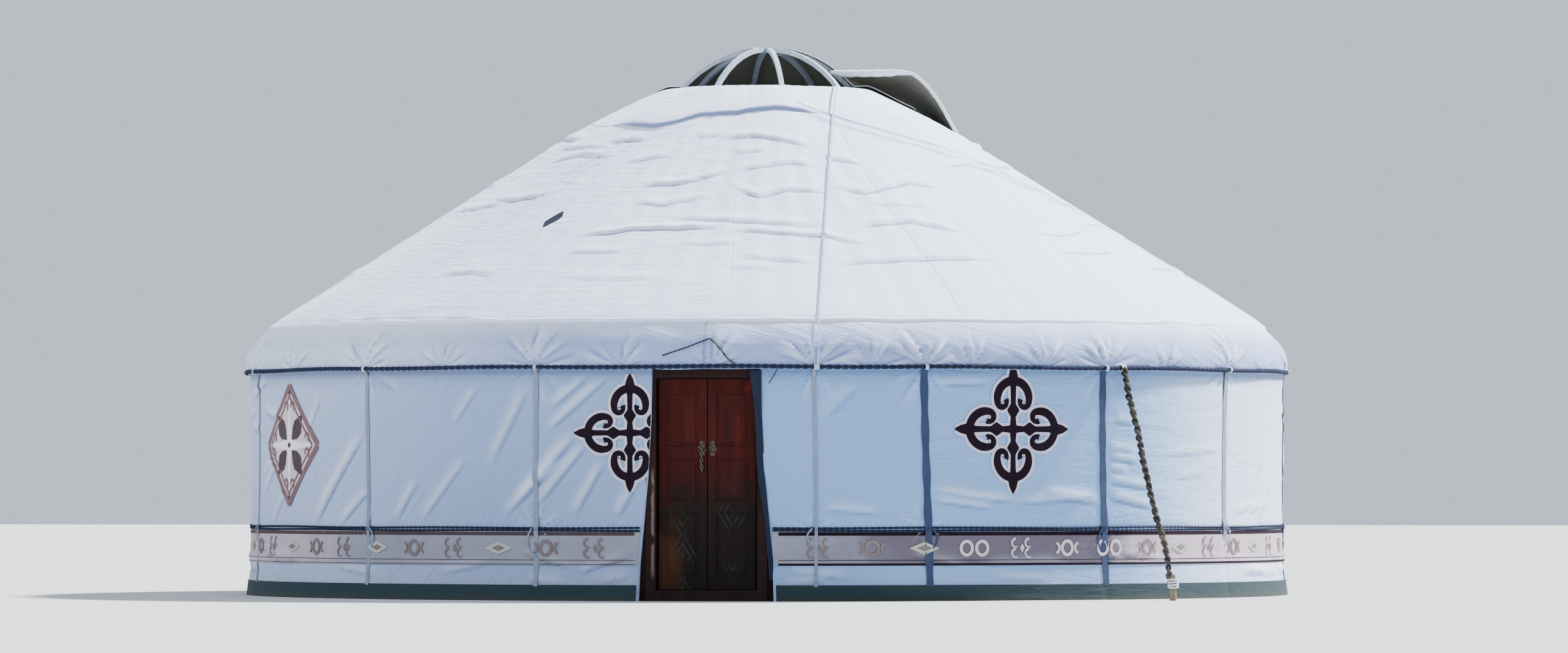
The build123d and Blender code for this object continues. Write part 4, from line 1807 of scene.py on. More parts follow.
@dataclass
class Ornaments:
    """Traditional figures sewn on the wall: horn crosses, rhombs and a running band."""

    palette: Palette
    form: WallForm = field(default_factory=WallForm)
    crosses: tuple = ((33.3, 1.128, 0.97), (-8.1, 1.102, 0.885), (128.0, 1.11, 0.95), (-140.0, 1.11, 0.95))
    rhombs: tuple = (-57.9, 106.0, 174.0, -100.0)
    rhomb_height: float = 1.030
    rhomb_half: tuple = (0.445, 0.420)
    band_height: float = 0.346
    pitch: float = 5.62
    first: float = 11.9

    def build(self) -> list[Piece]:
        """Makes the figures.

        Returns:
            The pieces.
        """
        made = []
        for i, (theta, height, scale) in enumerate(self.crosses):
            lines = self._cross(scale)
            wider = [(line, np.asarray(width) + 0.040) for line, width in lines]
            for kind, ribbons, layer in (("edging", wider, Layer.EDGING), ("figure", lines, Layer.FIGURE)):
                made.append(self._figure(f"horn_cross_{i + 1}_{kind}", ribbons, theta, height,
                                         layer.value, kind))
        for i, theta in enumerate(self.rhombs):
            made += self._rhomb(i + 1, theta)
        return made + self._band()

    def _figure(self, name: str, ribbons: list, theta: float, height: float, off: float,
                finish: str) -> Piece:
        """One figure of ribbons in one finish.

        Args:
            name: the piece's name.
            ribbons: pairs of drawn lines and widths.
            theta: plan angle of its middle.
            height: height of its middle.
            off: how far it lies off the cloth.
            finish: its finish.

        Returns:
            The piece.
        """
        parts = [self._ribbon(line, width, theta, height, off + 0.00025 * (k % 5))
                 for k, (line, width) in enumerate(ribbons)]
        points, faces = merged(parts)
        angle = np.degrees(np.arctan2(points[:, 0], -points[:, 1]))
        if abs(theta) < 20:
            shut = np.sign(theta) * angle < door_edge(points[:, 2])
            faces = [f for f in faces if not all(shut[i] for i in f)]
            limit = np.sign(theta) * (door_edge(points[:, 2]) + 0.03)
            reach = np.hypot(points[:, 0], points[:, 1])
            held = around(limit, reach, points[:, 2])
            points = np.where(shut[:, None], held, points)
        return make_object(name, points, faces, ROOT, "wall_canvas", None, [self.palette[finish]])

    def _ribbon(self, line: Array, width: Array, theta: float, height: float,
                off: float) -> Mesh:
        """A flat ribbon laid on the wall along a drawn line.

        Args:
            line: points across and up from the figure's middle.
            width: width at each point.
            theta: plan angle of the figure's middle.
            height: height of the figure's middle.
            off: how far it lies off the cloth.

        Returns:
            Vertices and faces.
        """
        line = np.asarray(line, float)
        width = np.broadcast_to(np.asarray(width, float), (len(line),))
        run = run_along(line)
        count = max(3, int(run[-1] / 0.011))
        at = np.linspace(0, run[-1], count)
        path = np.stack([np.interp(at, run, line[:, i]) for i in (0, 1)], 1)
        size = np.interp(at, run, width)
        along = unit(np.gradient(path, axis=0))
        side = np.stack([-along[:, 1], along[:, 0]], 1)
        columns = 5 if size.max() > 0.03 else 3
        across = np.linspace(-0.5, 0.5, columns)
        flat = path[:, None] + side[:, None] * (across[None, :, None] * size[:, None, None])
        return self._lay(flat, theta, height, off).reshape(-1, 3), grid_faces(count, columns)

    def _lay(self, flat: Array, theta: float, height: float, off: float) -> Array:
        """Lays drawn points on the wall.

        Args:
            flat: points across and up from the figure's middle.
            theta: plan angle of the middle.
            height: height of the middle.
            off: how far they lie off the cloth.

        Returns:
            The points.
        """
        angle = theta + np.degrees(flat[..., 0] / WALL_RADIUS)
        return self.form.point(angle, flat[..., 1] + height, off + 0.003)

    @staticmethod
    def _arc(x: float, y: float, radius: float, start: float, end: float, count: int = 24) -> Array:
        """Points on an arc."""
        a = np.radians(np.linspace(start, end, count))
        return np.stack([x + radius * np.cos(a), y + radius * np.sin(a)], 1)

    def _cross(self, scale: float) -> list:
        """A cross whose four arms carry a knob, two full curled horns and a point.

        Args:
            scale: its size beside the drawn one.

        Returns:
            Pairs of lines and widths.
        """
        ribbons = []
        for turn in (0, 90, 180, 270):
            c, s = math.cos(math.radians(turn)), math.sin(math.radians(turn))
            spin = np.array([[c, s], [-s, c]]) * scale
            arm = [([(0, 0), (0, 0.082), (0, 0.128), (0, 0.172), (0, 0.28), (0, 0.33)],
                    [0.056, 0.038, 0.098, 0.038, 0.042, 0.070]),
                   ([(0, 0.300), (0, 0.345), (0, 0.395), (0, 0.436)], [0.160, 0.078, 0.054, 0.012])]
            for side in (-1, 1):
                horn = np.concatenate([self._arc(0, 0.206, 0.122, 90, -12, 26),
                                       self._arc(0.085, 0.183, 0.034, -10, -215, 22)[1:]])
                horn[:, 0] *= side
                widths = [np.linspace(*run) for run in ((0.060, 0.058, 20), (0.056, 0.048, 6),
                                                        (0.046, 0.034, len(horn) - 30), (0.040, 0.042, 4))]
                arm.append((horn, np.concatenate(widths)))
            ribbons += [(np.asarray(line) @ spin, np.asarray(width) * scale) for line, width in arm]
        middle = np.array([(-0.052, 0), (0, 0), (0.052, 0)])
        ribbons.append((middle * scale, np.array([0.004, 0.104, 0.004]) * scale))
        return ribbons

    def _rhomb(self, number: int, theta: float) -> list[Piece]:
        """A pale rhomb with a double brown outline and four dark leaves round a pale cross.

        Args:
            number: its number.
            theta: plan angle of its middle.

        Returns:
            The pieces.
        """
        w, h = self.rhomb_half
        v, u = np.meshgrid(np.linspace(-1, 1, 62), np.linspace(-1, 1, 40), indexing="ij")
        ground = np.stack([u * w * (1 - np.abs(v)) * 0.985, v * h], -1)
        points = self._lay(ground, theta, self.rhomb_height, Layer.EDGING.value)
        name = f"rhomb_{number}"
        pieces = [make_object(f"{name}_ground", points, grid_faces(62, 40), ROOT, "wall_canvas", None,
                              [self.palette["scroll"]])]
        outline, leaves = [], []
        for share, line in ((0.955, 0.048), (0.79, 0.021)):
            corners = np.array([(0, h), (w, 0), (0, -h), (-w, 0), (0, h)]) * share
            widths = [line, line * 0.75, line]
            outline += [([a, (a + b) / 2, b], widths) for a, b in zip(corners, corners[1:])]
        for sx in (-1, 1):
            for sy in (-1, 1):
                leaves.append(([(0.048 * sx, 0.040 * sy), (0.095 * sx, 0.080 * sy), (0.140 * sx, 0.122 * sy),
                                (0.200 * sx, 0.200 * sy)], [0.014, 0.105, 0.135, 0.014]))
                for x, y in ((0.052, 0.262), (0.275, 0.052)):
                    curl = self._arc(x * sx, y * sy, 0.028, -60, 200, 14)
                    outline.append((curl, np.linspace(0.026, 0.014, 14)))
        leaves.append(([(-0.026, 0), (0, 0), (0.026, 0)], [0.004, 0.052, 0.004]))
        leaves += [([(0, 0.325 * sy), (0, 0.355 * sy), (0, 0.385 * sy)], [0.006, 0.040, 0.006])
                   for sy in (-1, 1)]
        bars = [([(0, -0.30), (0, 0), (0, 0.30)], [0.014, 0.072, 0.014]),
                ([(-0.36, 0), (0, 0), (0.36, 0)], [0.014, 0.072, 0.014])]
        for part, ribbons, off, finish in (("bars", bars, Layer.EDGING.value + 0.0008, "white_figure"),
                                           ("outline", outline, Layer.FIGURE.value, "brown_line"),
                                           ("leaves", leaves, Layer.FIGURE.value, "leaf_brown")):
            pieces.append(self._figure(f"{name}_{part}", ribbons, theta, self.rhomb_height, off, finish))
        return pieces

    def _motif(self, kind: Motif) -> list:
        """Drawn lines of one figure of the band.

        Args:
            kind: which figure it is.

        Returns:
            Pairs of lines and widths.
        """
        a = np.radians(np.linspace(0, 360, 22))
        ring = np.stack([0.041 * np.cos(a), 0.046 * np.sin(a)], 1)
        if kind is Motif.PAIR:
            return [(ring + (x, 0), 0.021) for x in (-0.056, 0.056)]
        if kind is Motif.RING:
            return [(ring, 0.022), (self._arc(0.098, 0.0, 0.036, 110, 250, 12), 0.018),
                    (self._arc(-0.098, 0.0, 0.036, -70, 70, 12), 0.018)]
        if kind is Motif.HOOK:
            lines = [([(-0.016, 0), (0, 0), (0.016, 0)], [0.004, 0.060, 0.004])]
            for sx in (-1, 1):
                for sy in (-1, 1):
                    hook = self._arc(0.050 * sx, 0.034 * sy, 0.028, 90, 300, 12)
                    lines.append((hook, np.linspace(0.018, 0.008, 12)))
            return lines
        return [([(-0.100, 0), (0, 0), (0.100, 0)], [0.004, 0.086, 0.004])]

    def _band(self) -> list[Piece]:
        """The running pattern: paired rings, lenses, hooks and plain edge lines.

        Returns:
            The pieces.
        """
        order = (Motif.RING, Motif.PAIR, Motif.LENS, Motif.PAIR, Motif.HOOK)
        worn = (Motif.HOOK, Motif.RING, Motif.LENS)
        parts = {"scroll": [], "lens": [], "faded_line": []}
        for side in (-1, 1):
            for k in range(31):
                theta = side * (self.first + k * self.pitch)
                if abs(theta) > 178:
                    continue
                faded = theta < 0 or theta > 50 or theta < 20
                kind = worn[k % 3] if faded else order[k % 5]
                finish = "lens" if kind is Motif.LENS else "faded_line" if faded else "scroll"
                parts[finish] += [self._ribbon(line, width, theta, self.band_height, 0.0092)
                                  for line, width in self._motif(kind)]
                if kind is Motif.LENS:
                    pupil = [(-0.050, 0), (0, 0), (0.050, 0)]
                    parts["faded_line"].append(
                        self._ribbon(pupil, [0.003, 0.040, 0.003], theta, self.band_height, 0.0104))
        made = [joined(f"band_{finish}", pieces, "wall_canvas", self.palette[finish])
                for finish, pieces in parts.items()]
        for name, low, high, finish in (("band_borders_right", 7.6, 180, "figure"),
                                        ("band_borders_left", 180, 352.4, "leaf_brown")):
            t = np.linspace(low, high, 450)
            lines = []
            for z, half in ((0.240, 0.007 if low < 9 else 0.002), (0.268, 0.002), (0.440, 0.011)):
                rows = np.stack([self.form.point(wrapped(t), z + d, 0.0090) for d in (-half, half)])
                lines.append((rows.reshape(-1, 3), grid_faces(2, len(t))))
            made.append(joined(name, lines, "wall_canvas", self.palette[finish]))
        return made


@dataclass
class Ropes:
    """Eave and girth ropes, wall tapes, roof tapes, the door tie and the guy rope."""

    palette: Palette
    wall: WallForm = field(default_factory=WallForm)
    roof: RoofForm = field(default_factory=RoofForm)
    guy: float = 47.2
    eave_cord: tuple = (0.031, 0.105)
    girth_cord: tuple = (0.0160, 0.080)
    guy_cord: tuple = (0.050, 0.115)
    guy_foot: float = 0.118
    peg_clearance: float = 0.034
    leans: dict = field(default_factory=lambda: {23.2: 0.45, 11.4: 0.1, 44.9: 0.15, -18.6: -0.15, -41.7: 0.2})

    def build(self) -> list[Piece]:
        """Makes the ropes.

        Returns:
            The pieces.
        """
        t = np.linspace(0, 360, 1200, endpoint=False)
        sag = 0.0030 * np.sin(np.radians(t) * 14.0 + 1)
        eave = around(t, EAVE_RADIUS - 0.001 + 0.0004 * np.sin(np.radians(t) * 31), EAVE + sag)
        eave_rope = self._twisted("eave_rope_cord", eave, *self.eave_cord, closed=True)
        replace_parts(eave_rope, "eave_rope")
        t = np.linspace(7.0, 353.0, 1100)
        theta = wrapped(t)
        rounds = []
        for z, turn in ((0.4615, 0.4), (0.4785, 2.1)):
            height = z + 0.0022 * np.sin(np.radians(t) * 13 + turn)
            rounds.append(self.wall.point(theta, height, 0.0125))
        girth_rope = self._twisted("girth_rope_cord", rounds[0], *self.girth_cord, sides=4)
        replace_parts(girth_rope, "girth_rope")
        upper = self._twisted("girth_rope_upper_cord", rounds[1], *self.girth_cord, sides=4)
        return [eave_rope, girth_rope, upper, *self._tapes(), *self._roof_tapes(), *self._door_ties(),
                *self._guy()]

    def _twisted(self, name: str, path: Array, size: float, pitch: float, closed: bool = False,
                 finish: str = "rope", sides: int = 5, rough: float = 0.0) -> Piece:
        """A rope of two strands laid round each other.

        Args:
            name: the piece's name.
            path: points along its middle.
            size: its diameter.
            pitch: length of one full turn.
            closed: whether it is a loop.
            finish: its finish.
            sides: number of sides of a strand.
            rough: unevenness of the strands' thickness, as a share.

        Returns:
            The rope.
        """
        steps = 6
        line = resample(path, pitch / steps, closed)
        n = len(line)
        turn = np.arange(n) * 2 * math.pi * (round(n / steps) / n if closed else 1 / steps)
        side, top = path_frame(line, closed)
        dice = np.random.default_rng(len(name) + n)
        parts = []
        for strand in (0, math.pi):
            a = (turn + strand)[:, None]
            thick = size * 0.27 * (1 + rough * dice.uniform(-1, 1, n))
            middle = line + size * 0.23 * (np.cos(a) * side + np.sin(a) * top)
            parts.append(tube(middle, thick, sides, closed))
        return joined(name, parts, "rope", self.palette[finish])

    def _tape(self, line: Array, out: Array, width: Array, thick: float) -> Mesh:
        """A flat woven tape along a line, with its face turned out.

        Args:
            line: points along its middle.
            out: outward direction at each point.
            width: its width, one or one to each point.
            thick: its thickness.

        Returns:
            Vertices and faces.
        """
        side = unit(np.cross(unit(np.gradient(line, axis=0)), out))
        half = np.broadcast_to(np.asarray(width, float), (len(line),))[:, None] / 2
        rows = np.stack([line - side * half, line - side * half + out * thick,
                         line + side * half + out * thick, line + side * half], 1)
        faces = grid_faces(len(line), 4, wrap=True)
        faces += [(0, 1, 2, 3), tuple(4 * (len(line) - 1) + i for i in (3, 2, 1, 0))]
        return rows.reshape(-1, 3), faces

    def _loop(self, theta: float, radius: float, height: float, size: float, wire: float) -> Mesh:
        """One turn of cord round a level rope.

        Args:
            theta: plan angle of the turn.
            radius: the rope's distance from the centre.
            height: the rope's height.
            size: radius of the turn.
            wire: radius of the cord.

        Returns:
            Vertices and faces.
        """
        a = ring_of(14)
        path = around(theta + 0 * a, radius + size * np.cos(a), height + size * np.sin(a))
        return tube(path, wire, 5, closed=True)

    def _tapes(self) -> list[Piece]:
        """Upright tapes from the eave rope down to the skirt, knotted at both ropes.

        Returns:
            The pieces.
        """
        parts = {"tape": [], "grey_tape": [], "pale_tape": []}
        for i, theta in enumerate(TIES):
            thin, left, short = theta == THIN_TIE, theta < -5, theta == SHORT_TIE
            finish = "grey_tape" if thin or left or short else "tape"
            width = 0.023 if thin else 0.033 if left else 0.050
            foot = 0.40 if short else 0.095
            z = np.linspace(foot, EAVE - 0.004, 70)
            slant = self.leans.get(theta, 0.2 * math.sin(i * 1.7))
            lean = theta + slant * (1 - z / EAVE) + 0.10 * np.sin(z * 2.6 + i)
            r = self.wall.radius(lean, z) + 0.0075
            r = r + 0.013 * bell(z, GIRTH, 0.045) + 0.018 * smooth(z, EAVE - 0.07, EAVE)
            line = around(lean, r, z)
            out = around(lean, np.ones(70), np.zeros(70))
            swell = width * (1 + 0.12 * np.sin(z * 23 + i))
            parts[finish].append(self._tape(line, out, swell, 0.003))
            at = float(np.interp(GIRTH, z, lean))
            mid = float(np.interp(GIRTH, z, r))
            for k in (-1, 0, 1):
                knot = theta + arc_angle(k * 0.007 + 0.004)
                parts["pale_tape"].append(self._loop(knot, EAVE_RADIUS, EAVE, 0.0165, 0.0038))
            for k in (-1, 1):
                knot = at + arc_angle(k * 0.007)
                parts[finish].append(self._loop(knot, mid - 0.010, GIRTH, 0.0185, 0.0036))
            tail = np.linspace(0, 1, 16)
            swing = at + arc_angle((0.026 + 0.034 * np.sin(tail * 3.0)) * (1 if i % 2 else -1))
            drop = 0.006 - (0.10 + 0.03 * (i % 3)) * tail
            hang = around(swing, mid + 0.010 - 0.008 * tail, GIRTH + drop)
            parts[finish].append(self._tape(hang, around(swing, np.ones(16), np.zeros(16)), 0.011, 0.002))
        made = [joined(f"wall_{finish}", pieces, "tie", self.palette[finish], soft=False)
                for finish, pieces in parts.items()]
        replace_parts(made[0], "wall_ties")
        return made

    def _roof_tapes(self) -> list[Piece]:
        """Tapes down the roof, knotted to the eave rope.

        Returns:
            The pieces.
        """
        total = self.roof.length()
        tapes, loops = [], []
        runs = (((11.7, 0.040), (48.0, total - 0.07)), ((-110.0, 0.040), (-110.0, total - 0.44)),
                ((150.0, 0.040), (150.0, total - 0.44)))
        for (a0, s0), (a1, s1) in runs:
            low, high = self.roof.plain(np.array([a0, a1]), np.array([s0, s1]), 0.0)
            share = np.linspace(0, 1, 170)[:, None]
            flat = low[:2] + (high[:2] - low[:2]) * share
            theta = np.degrees(np.arctan2(flat[:, 0], -flat[:, 1]))
            reach = np.linspace(0.03, total - 0.01, 700)
            radius = self.roof.base(reach)[0]
            s = np.interp(-np.hypot(flat[:, 0], flat[:, 1]), -radius, reach)
            s[:12] = np.linspace(s0, s[12], 12)
            line = self.roof.point(theta, s, 0.0150 + 0.018 * smooth(s, total - 0.60, total - 0.50))
            _, _, nr, nz = self.roof.base(s)
            tapes.append(self._tape(line, around(theta, nr, nz), 0.013, 0.003))
            for k in (-1, 0, 1):
                loops.append(self._loop(a0 + arc_angle(k * 0.006), EAVE_RADIUS, EAVE, 0.0165, 0.0036))
        obj = joined("roof_tapes", tapes + loops, "tie", self.palette["roof_tape"], soft=False)
        return [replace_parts(obj, "roof_ties")]

    def _door_ties(self) -> list[Piece]:
        """The short cord that draws up the hem over the door, and a loose end beside it.

        Returns:
            The pieces.
        """
        made = []
        for name, knots, finish, size in (
                ("door_tie_left", ((-4.5, 0.100), (-2.2, 0.150), (0.4, 0.215)), "rope", 0.011),
                ("door_tie_right", ((0.4, 0.215), (1.4, 0.150), (2.5, 0.070), (3.1, 0.045)), "guy", 0.012)):
            a, s = np.array(knots).T
            t, at = np.linspace(0, 1, 30), np.linspace(0, 1, len(a))
            line = self.roof.point(np.interp(t, at, a), np.interp(t, at, s), 0.010)
            made.append(self._twisted(name, line, size, 0.050, finish=finish))
        z = np.linspace(EAVE, 1.425, 16)
        x = np.interp(z, [1.425, 1.47, EAVE], [0.415, 0.445, 0.480])
        y = -np.sqrt(3.622 ** 2 - x ** 2) + 0.010 * (EAVE - z) / 0.11
        made.append(self._twisted("door_loose_cord", np.stack([x, y, z], -1), 0.009, 0.04, finish="guy"))
        return made

    def _guy(self) -> list[Piece]:
        """The dark twisted stay down to its peg, with a pale end.

        Returns:
            The pieces.
        """
        low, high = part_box("guy_peg")
        peg = (low + high) / 2
        top = around(self.guy, 3.628, EAVE)
        foot = np.array([peg.x, peg.y, self.guy_foot])
        flat = unit(foot[:2] - top[:2])
        foot[:2] -= flat * self.peg_clearance
        t = np.linspace(0, 1, 120)
        line = top + (foot - top) * t[:, None]
        line[:, 2] += -0.012 * np.sin(np.pi * t) + 0.005 * np.sin(t * 31) * np.sin(np.pi * t)
        side = np.array([-flat[1], flat[0]])
        stray = np.interp(t, [0, 0.08, 0.3, 0.6, 0.78, 0.9, 1.0], [0, -0.008, 0.0, -0.006, 0.020, 0.016, 0])
        line[:, :2] += side * (stray + 0.005 * np.sin(t * 23 + 1) * np.sin(np.pi * t))[:, None]
        rope = self._twisted("guy_rope_cord", line, *self.guy_cord, finish="guy", rough=0.30)
        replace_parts(rope, "guy_rope")
        parts = []
        a = ring_of(16)
        for k in range(4):
            loop = np.stack([peg.x + 0.031 * np.cos(a), peg.y + 0.031 * np.sin(a),
                             0.090 + 0.015 * k + 0.004 * np.sin(a + k)], 1)
            parts.append(tube(loop, 0.0075, 6, closed=True))
        for k in range(3):
            knot = self.guy + arc_angle((k - 1) * 0.013)
            parts.append(self._loop(knot, EAVE_RADIUS, EAVE, 0.0205, 0.0066))
        return [rope, joined("guy_loops", parts, "rope", self.palette["pale_tape"])]


@dataclass
class Frame:
    """The wooden frame: finer slats, knots, lashings, and finishes of the CAD wood."""

    palette: Palette
    radius: float = 3.5326
    slat: float = 0.012
    width: float = 0.028
    top: float = 1.530
    rise: float = 0.235
    foot: float = 0.060
    play: float = 0.0006
    half_pitches: float = 1.5

    def build(self) -> list[Piece]:
        """Dresses the frame.

        Returns:
            The added pieces.
        """
        dress(self.palette, {"lattice_wall": "lattice_wood", "roof_poles": "pole_wood",
                             "crown_ring": "crown_wood", "crown_bars": "crown_wood",
                             "guy_peg": "peg_wood"})
        return [self._slats(), self._knots(), self._lashings()]

    def _half(self) -> float:
        """Half the width of a flat bay of the lattice."""
        return self.radius * math.tan(math.radians(BAY / 2))

    @staticmethod
    def _axes(bay: int) -> Array:
        """Outward, sideways and upward directions of a bay of the lattice."""
        t = math.radians(bay * BAY)
        return np.array([(math.sin(t), -math.cos(t), 0), (math.cos(t), math.sin(t), 0), (0, 0, 1.0)])

    def _slats(self) -> Piece:
        """The slats between the CAD ones, in the same two layers.

        Returns:
            The piece.
        """
        half = self._half() - self.play
        pitch = half / self.half_pitches
        slope = self.rise / pitch
        tall = self.width / math.cos(math.atan(slope)) / 2
        parts = []
        for bay in range(1, 360 // BAY):
            lift = (bay + 1) % 2
            out, side, up = self._axes(bay)
            for lean, layer in ((1, 0), (-1, 1)):
                near, far = self.radius - layer * self.slat, self.radius - (layer + 1) * self.slat
                for i in range(-1, 7):
                    z0 = self.foot + (lift + 2 * i) * self.rise
                    ends = [(z_end - z0) / slope * lean for z_end in (0.0, self.top)]
                    low, high = max(-half, min(ends)), min(half, max(ends))
                    if high - low < 0.05:
                        continue
                    block = []
                    for r in (near - 0.0004, far + 0.0004):
                        for x in (low, high):
                            for s in (-1, 1):
                                z = z0 + x * slope * lean + s * tall
                                block.append(out * r + side * x + up * min(max(z, 0.0), self.top))
                    parts.append((np.array(block), [(0, 2, 3, 1), (4, 5, 7, 6), (0, 1, 5, 4),
                                                    (2, 6, 7, 3), (0, 4, 6, 2), (1, 3, 7, 5)]))
        return joined("lattice_fine_slats", parts, "lattice_wood", self.palette["lattice_wood"], soft=False)

    def _knots(self) -> Piece:
        """Hide knots that pin the slats together, seen from inside.

        Returns:
            The piece.
        """
        pitch = self._half() / self.half_pitches
        parts = []
        for bay in range(1, 360 // BAY):
            out, side, up = self._axes(bay)
            for column in (-2, -1, 0, 1, 2):
                for j in range(13):
                    z = self.foot + j * self.rise / 2
                    x = column * pitch / 2
                    if (j + column) % 2 or z > self.top - 0.02:
                        continue
                    centre = out * (self.radius - 2 * self.slat) + side * x + up * z
                    block = [centre + 0.008 * (side * math.cos(a) + up * math.sin(a)) for a in ring_of(6)]
                    block.append(centre - out * 0.006)
                    parts.append((np.array(block), [(k, (k + 1) % 6, 6) for k in range(6)]))
        return joined("lattice_knots", parts, "lattice_wood", self.palette["lashing"])

    def _lashings(self) -> Piece:
        """Cords that tie each pole's foot to the lattice.

        Returns:
            The piece.
        """
        parts = []
        a = ring_of(12)
        for k in range(POLES):
            theta = k * 360 / POLES
            if abs(wrapped(theta)) < 6:
                continue
            middle = k % 3 == 0
            r = (self.radius - 2 * self.slat) / (1.0 if middle else math.cos(math.radians(5)))
            for j in range(3):
                z = self.top - 0.055 + 0.010 * j
                block = around(theta + np.degrees(0.026 * np.cos(a) / r), r - 0.018 + 0.022 * np.sin(a),
                               z + 0.004 * np.cos(a))
                parts.append(tube(block, 0.004, 4, closed=True))
        return joined("pole_lashings", parts, "pole_wood", self.palette["lashing"])


@dataclass
class CrownCover:
    """The crown's own cover, drawn to the back, with a corner standing up at the right like a hood."""

    palette: Palette
    dome_radius: float = 0.8011
    dome_centre: float = 3.0029
    hood_start: float = 0.505
    hood_rise: float = 3.6408
    hood_front: float = 0.040
    hood_depth: float = 0.580
    cloth: float = 0.005
    front: tuple = ((0.0, 0.0), (0.406, -0.003), (0.519, 0.012), (0.621, 0.102), (0.711, 0.226),
                    (0.817, 0.420), (0.900, 0.560))
    back: tuple = ((0.0, 0.105), (0.300, 0.215), (0.400, 0.262), (0.500, 0.320), (0.550, 0.352),
                   (0.600, 0.390), (0.700, 0.540))

    def _ground(self, r: Array) -> Array:
        """Height of what the cover lies on, at a distance from the centre.

        Args:
            r: distances from the centre.

        Returns:
            The heights.
        """
        line = np.array(RoofForm().line)[::-1]
        roof = np.interp(r, line[:, 0], line[:, 1]) + 0.030
        dome = self.dome_centre + np.sqrt(np.clip(self.dome_radius ** 2 - r ** 2, 0, None)) + 0.004
        return np.maximum(np.where(r < 0.70, dome, 0), np.where(r > 0.50, roof, 0))

    def build(self) -> list[Piece]:
        """Makes the cap, the hood and the hood's hem.

        Returns:
            The pieces.
        """
        cap, hood = self._cap(), self._hood()
        for piece in (cap, hood):
            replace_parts(piece, "crown_cover")
        return [cap, hood, *self._hem()]

    def _cap(self) -> Piece:
        """The part that lies over the back of the dome and on the roof behind it.

        Returns:
            The piece.
        """
        rows, columns = 64, 220
        az = np.linspace(7.0, 177.5, columns)[None, :]
        v = np.linspace(0, 1, rows)[:, None]
        reach = 1.025 + 0.014 * np.sin(np.radians(az) * 9) + 0.009 * np.sin(np.radians(az) * 23)
        r = 0.10 + (reach - 0.10) * v
        height = self._ground(r) + 0.003 * Ripple(51, (6, 30), (8.0, 20.0))(az, r) * smooth(r, 0.3, 0.8)
        height = height + 0.006 * np.sin(np.radians(az) * 26 + 3 * r) * smooth(r, 0.75, 1.02)
        height = height - 0.006 * bell(reach - r, 0, 0.008)
        t = np.radians(az)
        points = spread(r * np.cos(t), r * np.sin(t), height)
        faces = [f[::-1] for f in grid_faces(rows, columns)]
        obj = make_object("crown_cover_cap", points, faces, ROOT, "crown_canvas",
                          spread(t * r, r),
                          [self.palette["hem_canvas"], self.palette["lining"]])
        solidify(obj, self.cloth)
        return obj

    def _curve(self, fall: tuple, share: Array) -> Array:
        """Points of one edge of the hood at shares of its length.

        Args:
            fall: the edge's points as distance out and drop.
            share: shares of the edge's length.

        Returns:
            The points.
        """
        x, drop = np.array(fall).T
        run = run_along(np.array(fall))
        fine = np.linspace(0, run[-1], 300)
        line = np.stack([np.interp(fine, run, x), np.interp(fine, run, drop)], -1)
        for axis in (0, 1):
            line[:, axis] = softened(line[:, axis], 18)
        at = share * run[-1]
        return np.stack([np.interp(at, fine, line[:, 0]), np.interp(at, fine, line[:, 1])], -1)

    def _hood(self) -> Piece:
        """The corner that stands up at the right and drops to the roof.

        Returns:
            The piece.
        """
        rows, columns = 46, 100
        v = np.linspace(0, 1, columns)
        u = np.linspace(0, 1, rows)[:, None]
        near, far = self._curve(self.front, v), self._curve(self.back, v)
        x = self.hood_start + near[None, :, 0] + (far[None, :, 0] - near[None, :, 0]) * u
        z = self.hood_rise - near[None, :, 1] + (near[None, :, 1] - far[None, :, 1]) * u
        y = self.hood_front + self.hood_depth * u + 0 * x
        swell = 0.006 * np.sin(v * 17 + 3 * u) * np.sin(np.pi * u) + 0.012 * np.sin(np.pi * u)
        z = z + swell * smooth(v, 0.05, 0.25)
        points = np.stack([x, y, z], -1)
        faces = grid_faces(rows, columns)
        obj = make_object("crown_cover_hood", points, faces, ROOT, "crown_canvas",
                          spread(x, y),
                          [self.palette["hem_canvas"], self.palette["lining"]])
        solidify(obj, self.cloth)
        return obj

    def _hem(self) -> list[Piece]:
        """The rolled hem of the hood's front edge, thick near the crown and thin further out.

        Returns:
            The pieces.
        """
        share = np.linspace(0.0, 1.0, 90)
        line = self._curve(self.front, share)
        points = spread(self.hood_start + line[:, 0], self.hood_front, self.hood_rise - line[:, 1])
        start = np.array([[-0.065, 0, -0.004], [-0.045, 0, -0.002], [-0.020, 0, 0]]) + points[0]
        roll = np.concatenate([start, points[:42]])
        thick = np.interp(np.linspace(0, 1, len(roll)), [0, 0.10, 0.65, 1.0], [0.012, 0.025, 0.025, 0.010])
        made = []
        for name, path, size, finish in (("crown_cover_roll", roll, thick, "hem_canvas"),
                                         ("crown_cover_edge", points[39:-3], np.full(48, 0.0125),
                                          "hood_edge")):
            along = np.gradient(path, axis=0)
            inward = unit(np.stack([along[:, 2], 0 * along[:, 0], -along[:, 0]], -1))
            path = path + inward * (size * 0.9)[:, None] - [0, 0.004, 0]
            dents = 1 + 0.08 * np.sin(np.arange(len(path)) * 0.9)
            made.append(make_object(name, *tube(path, size * dents, 9), ROOT, "crown_canvas", None,
                                    [self.palette[finish]]))
        return made


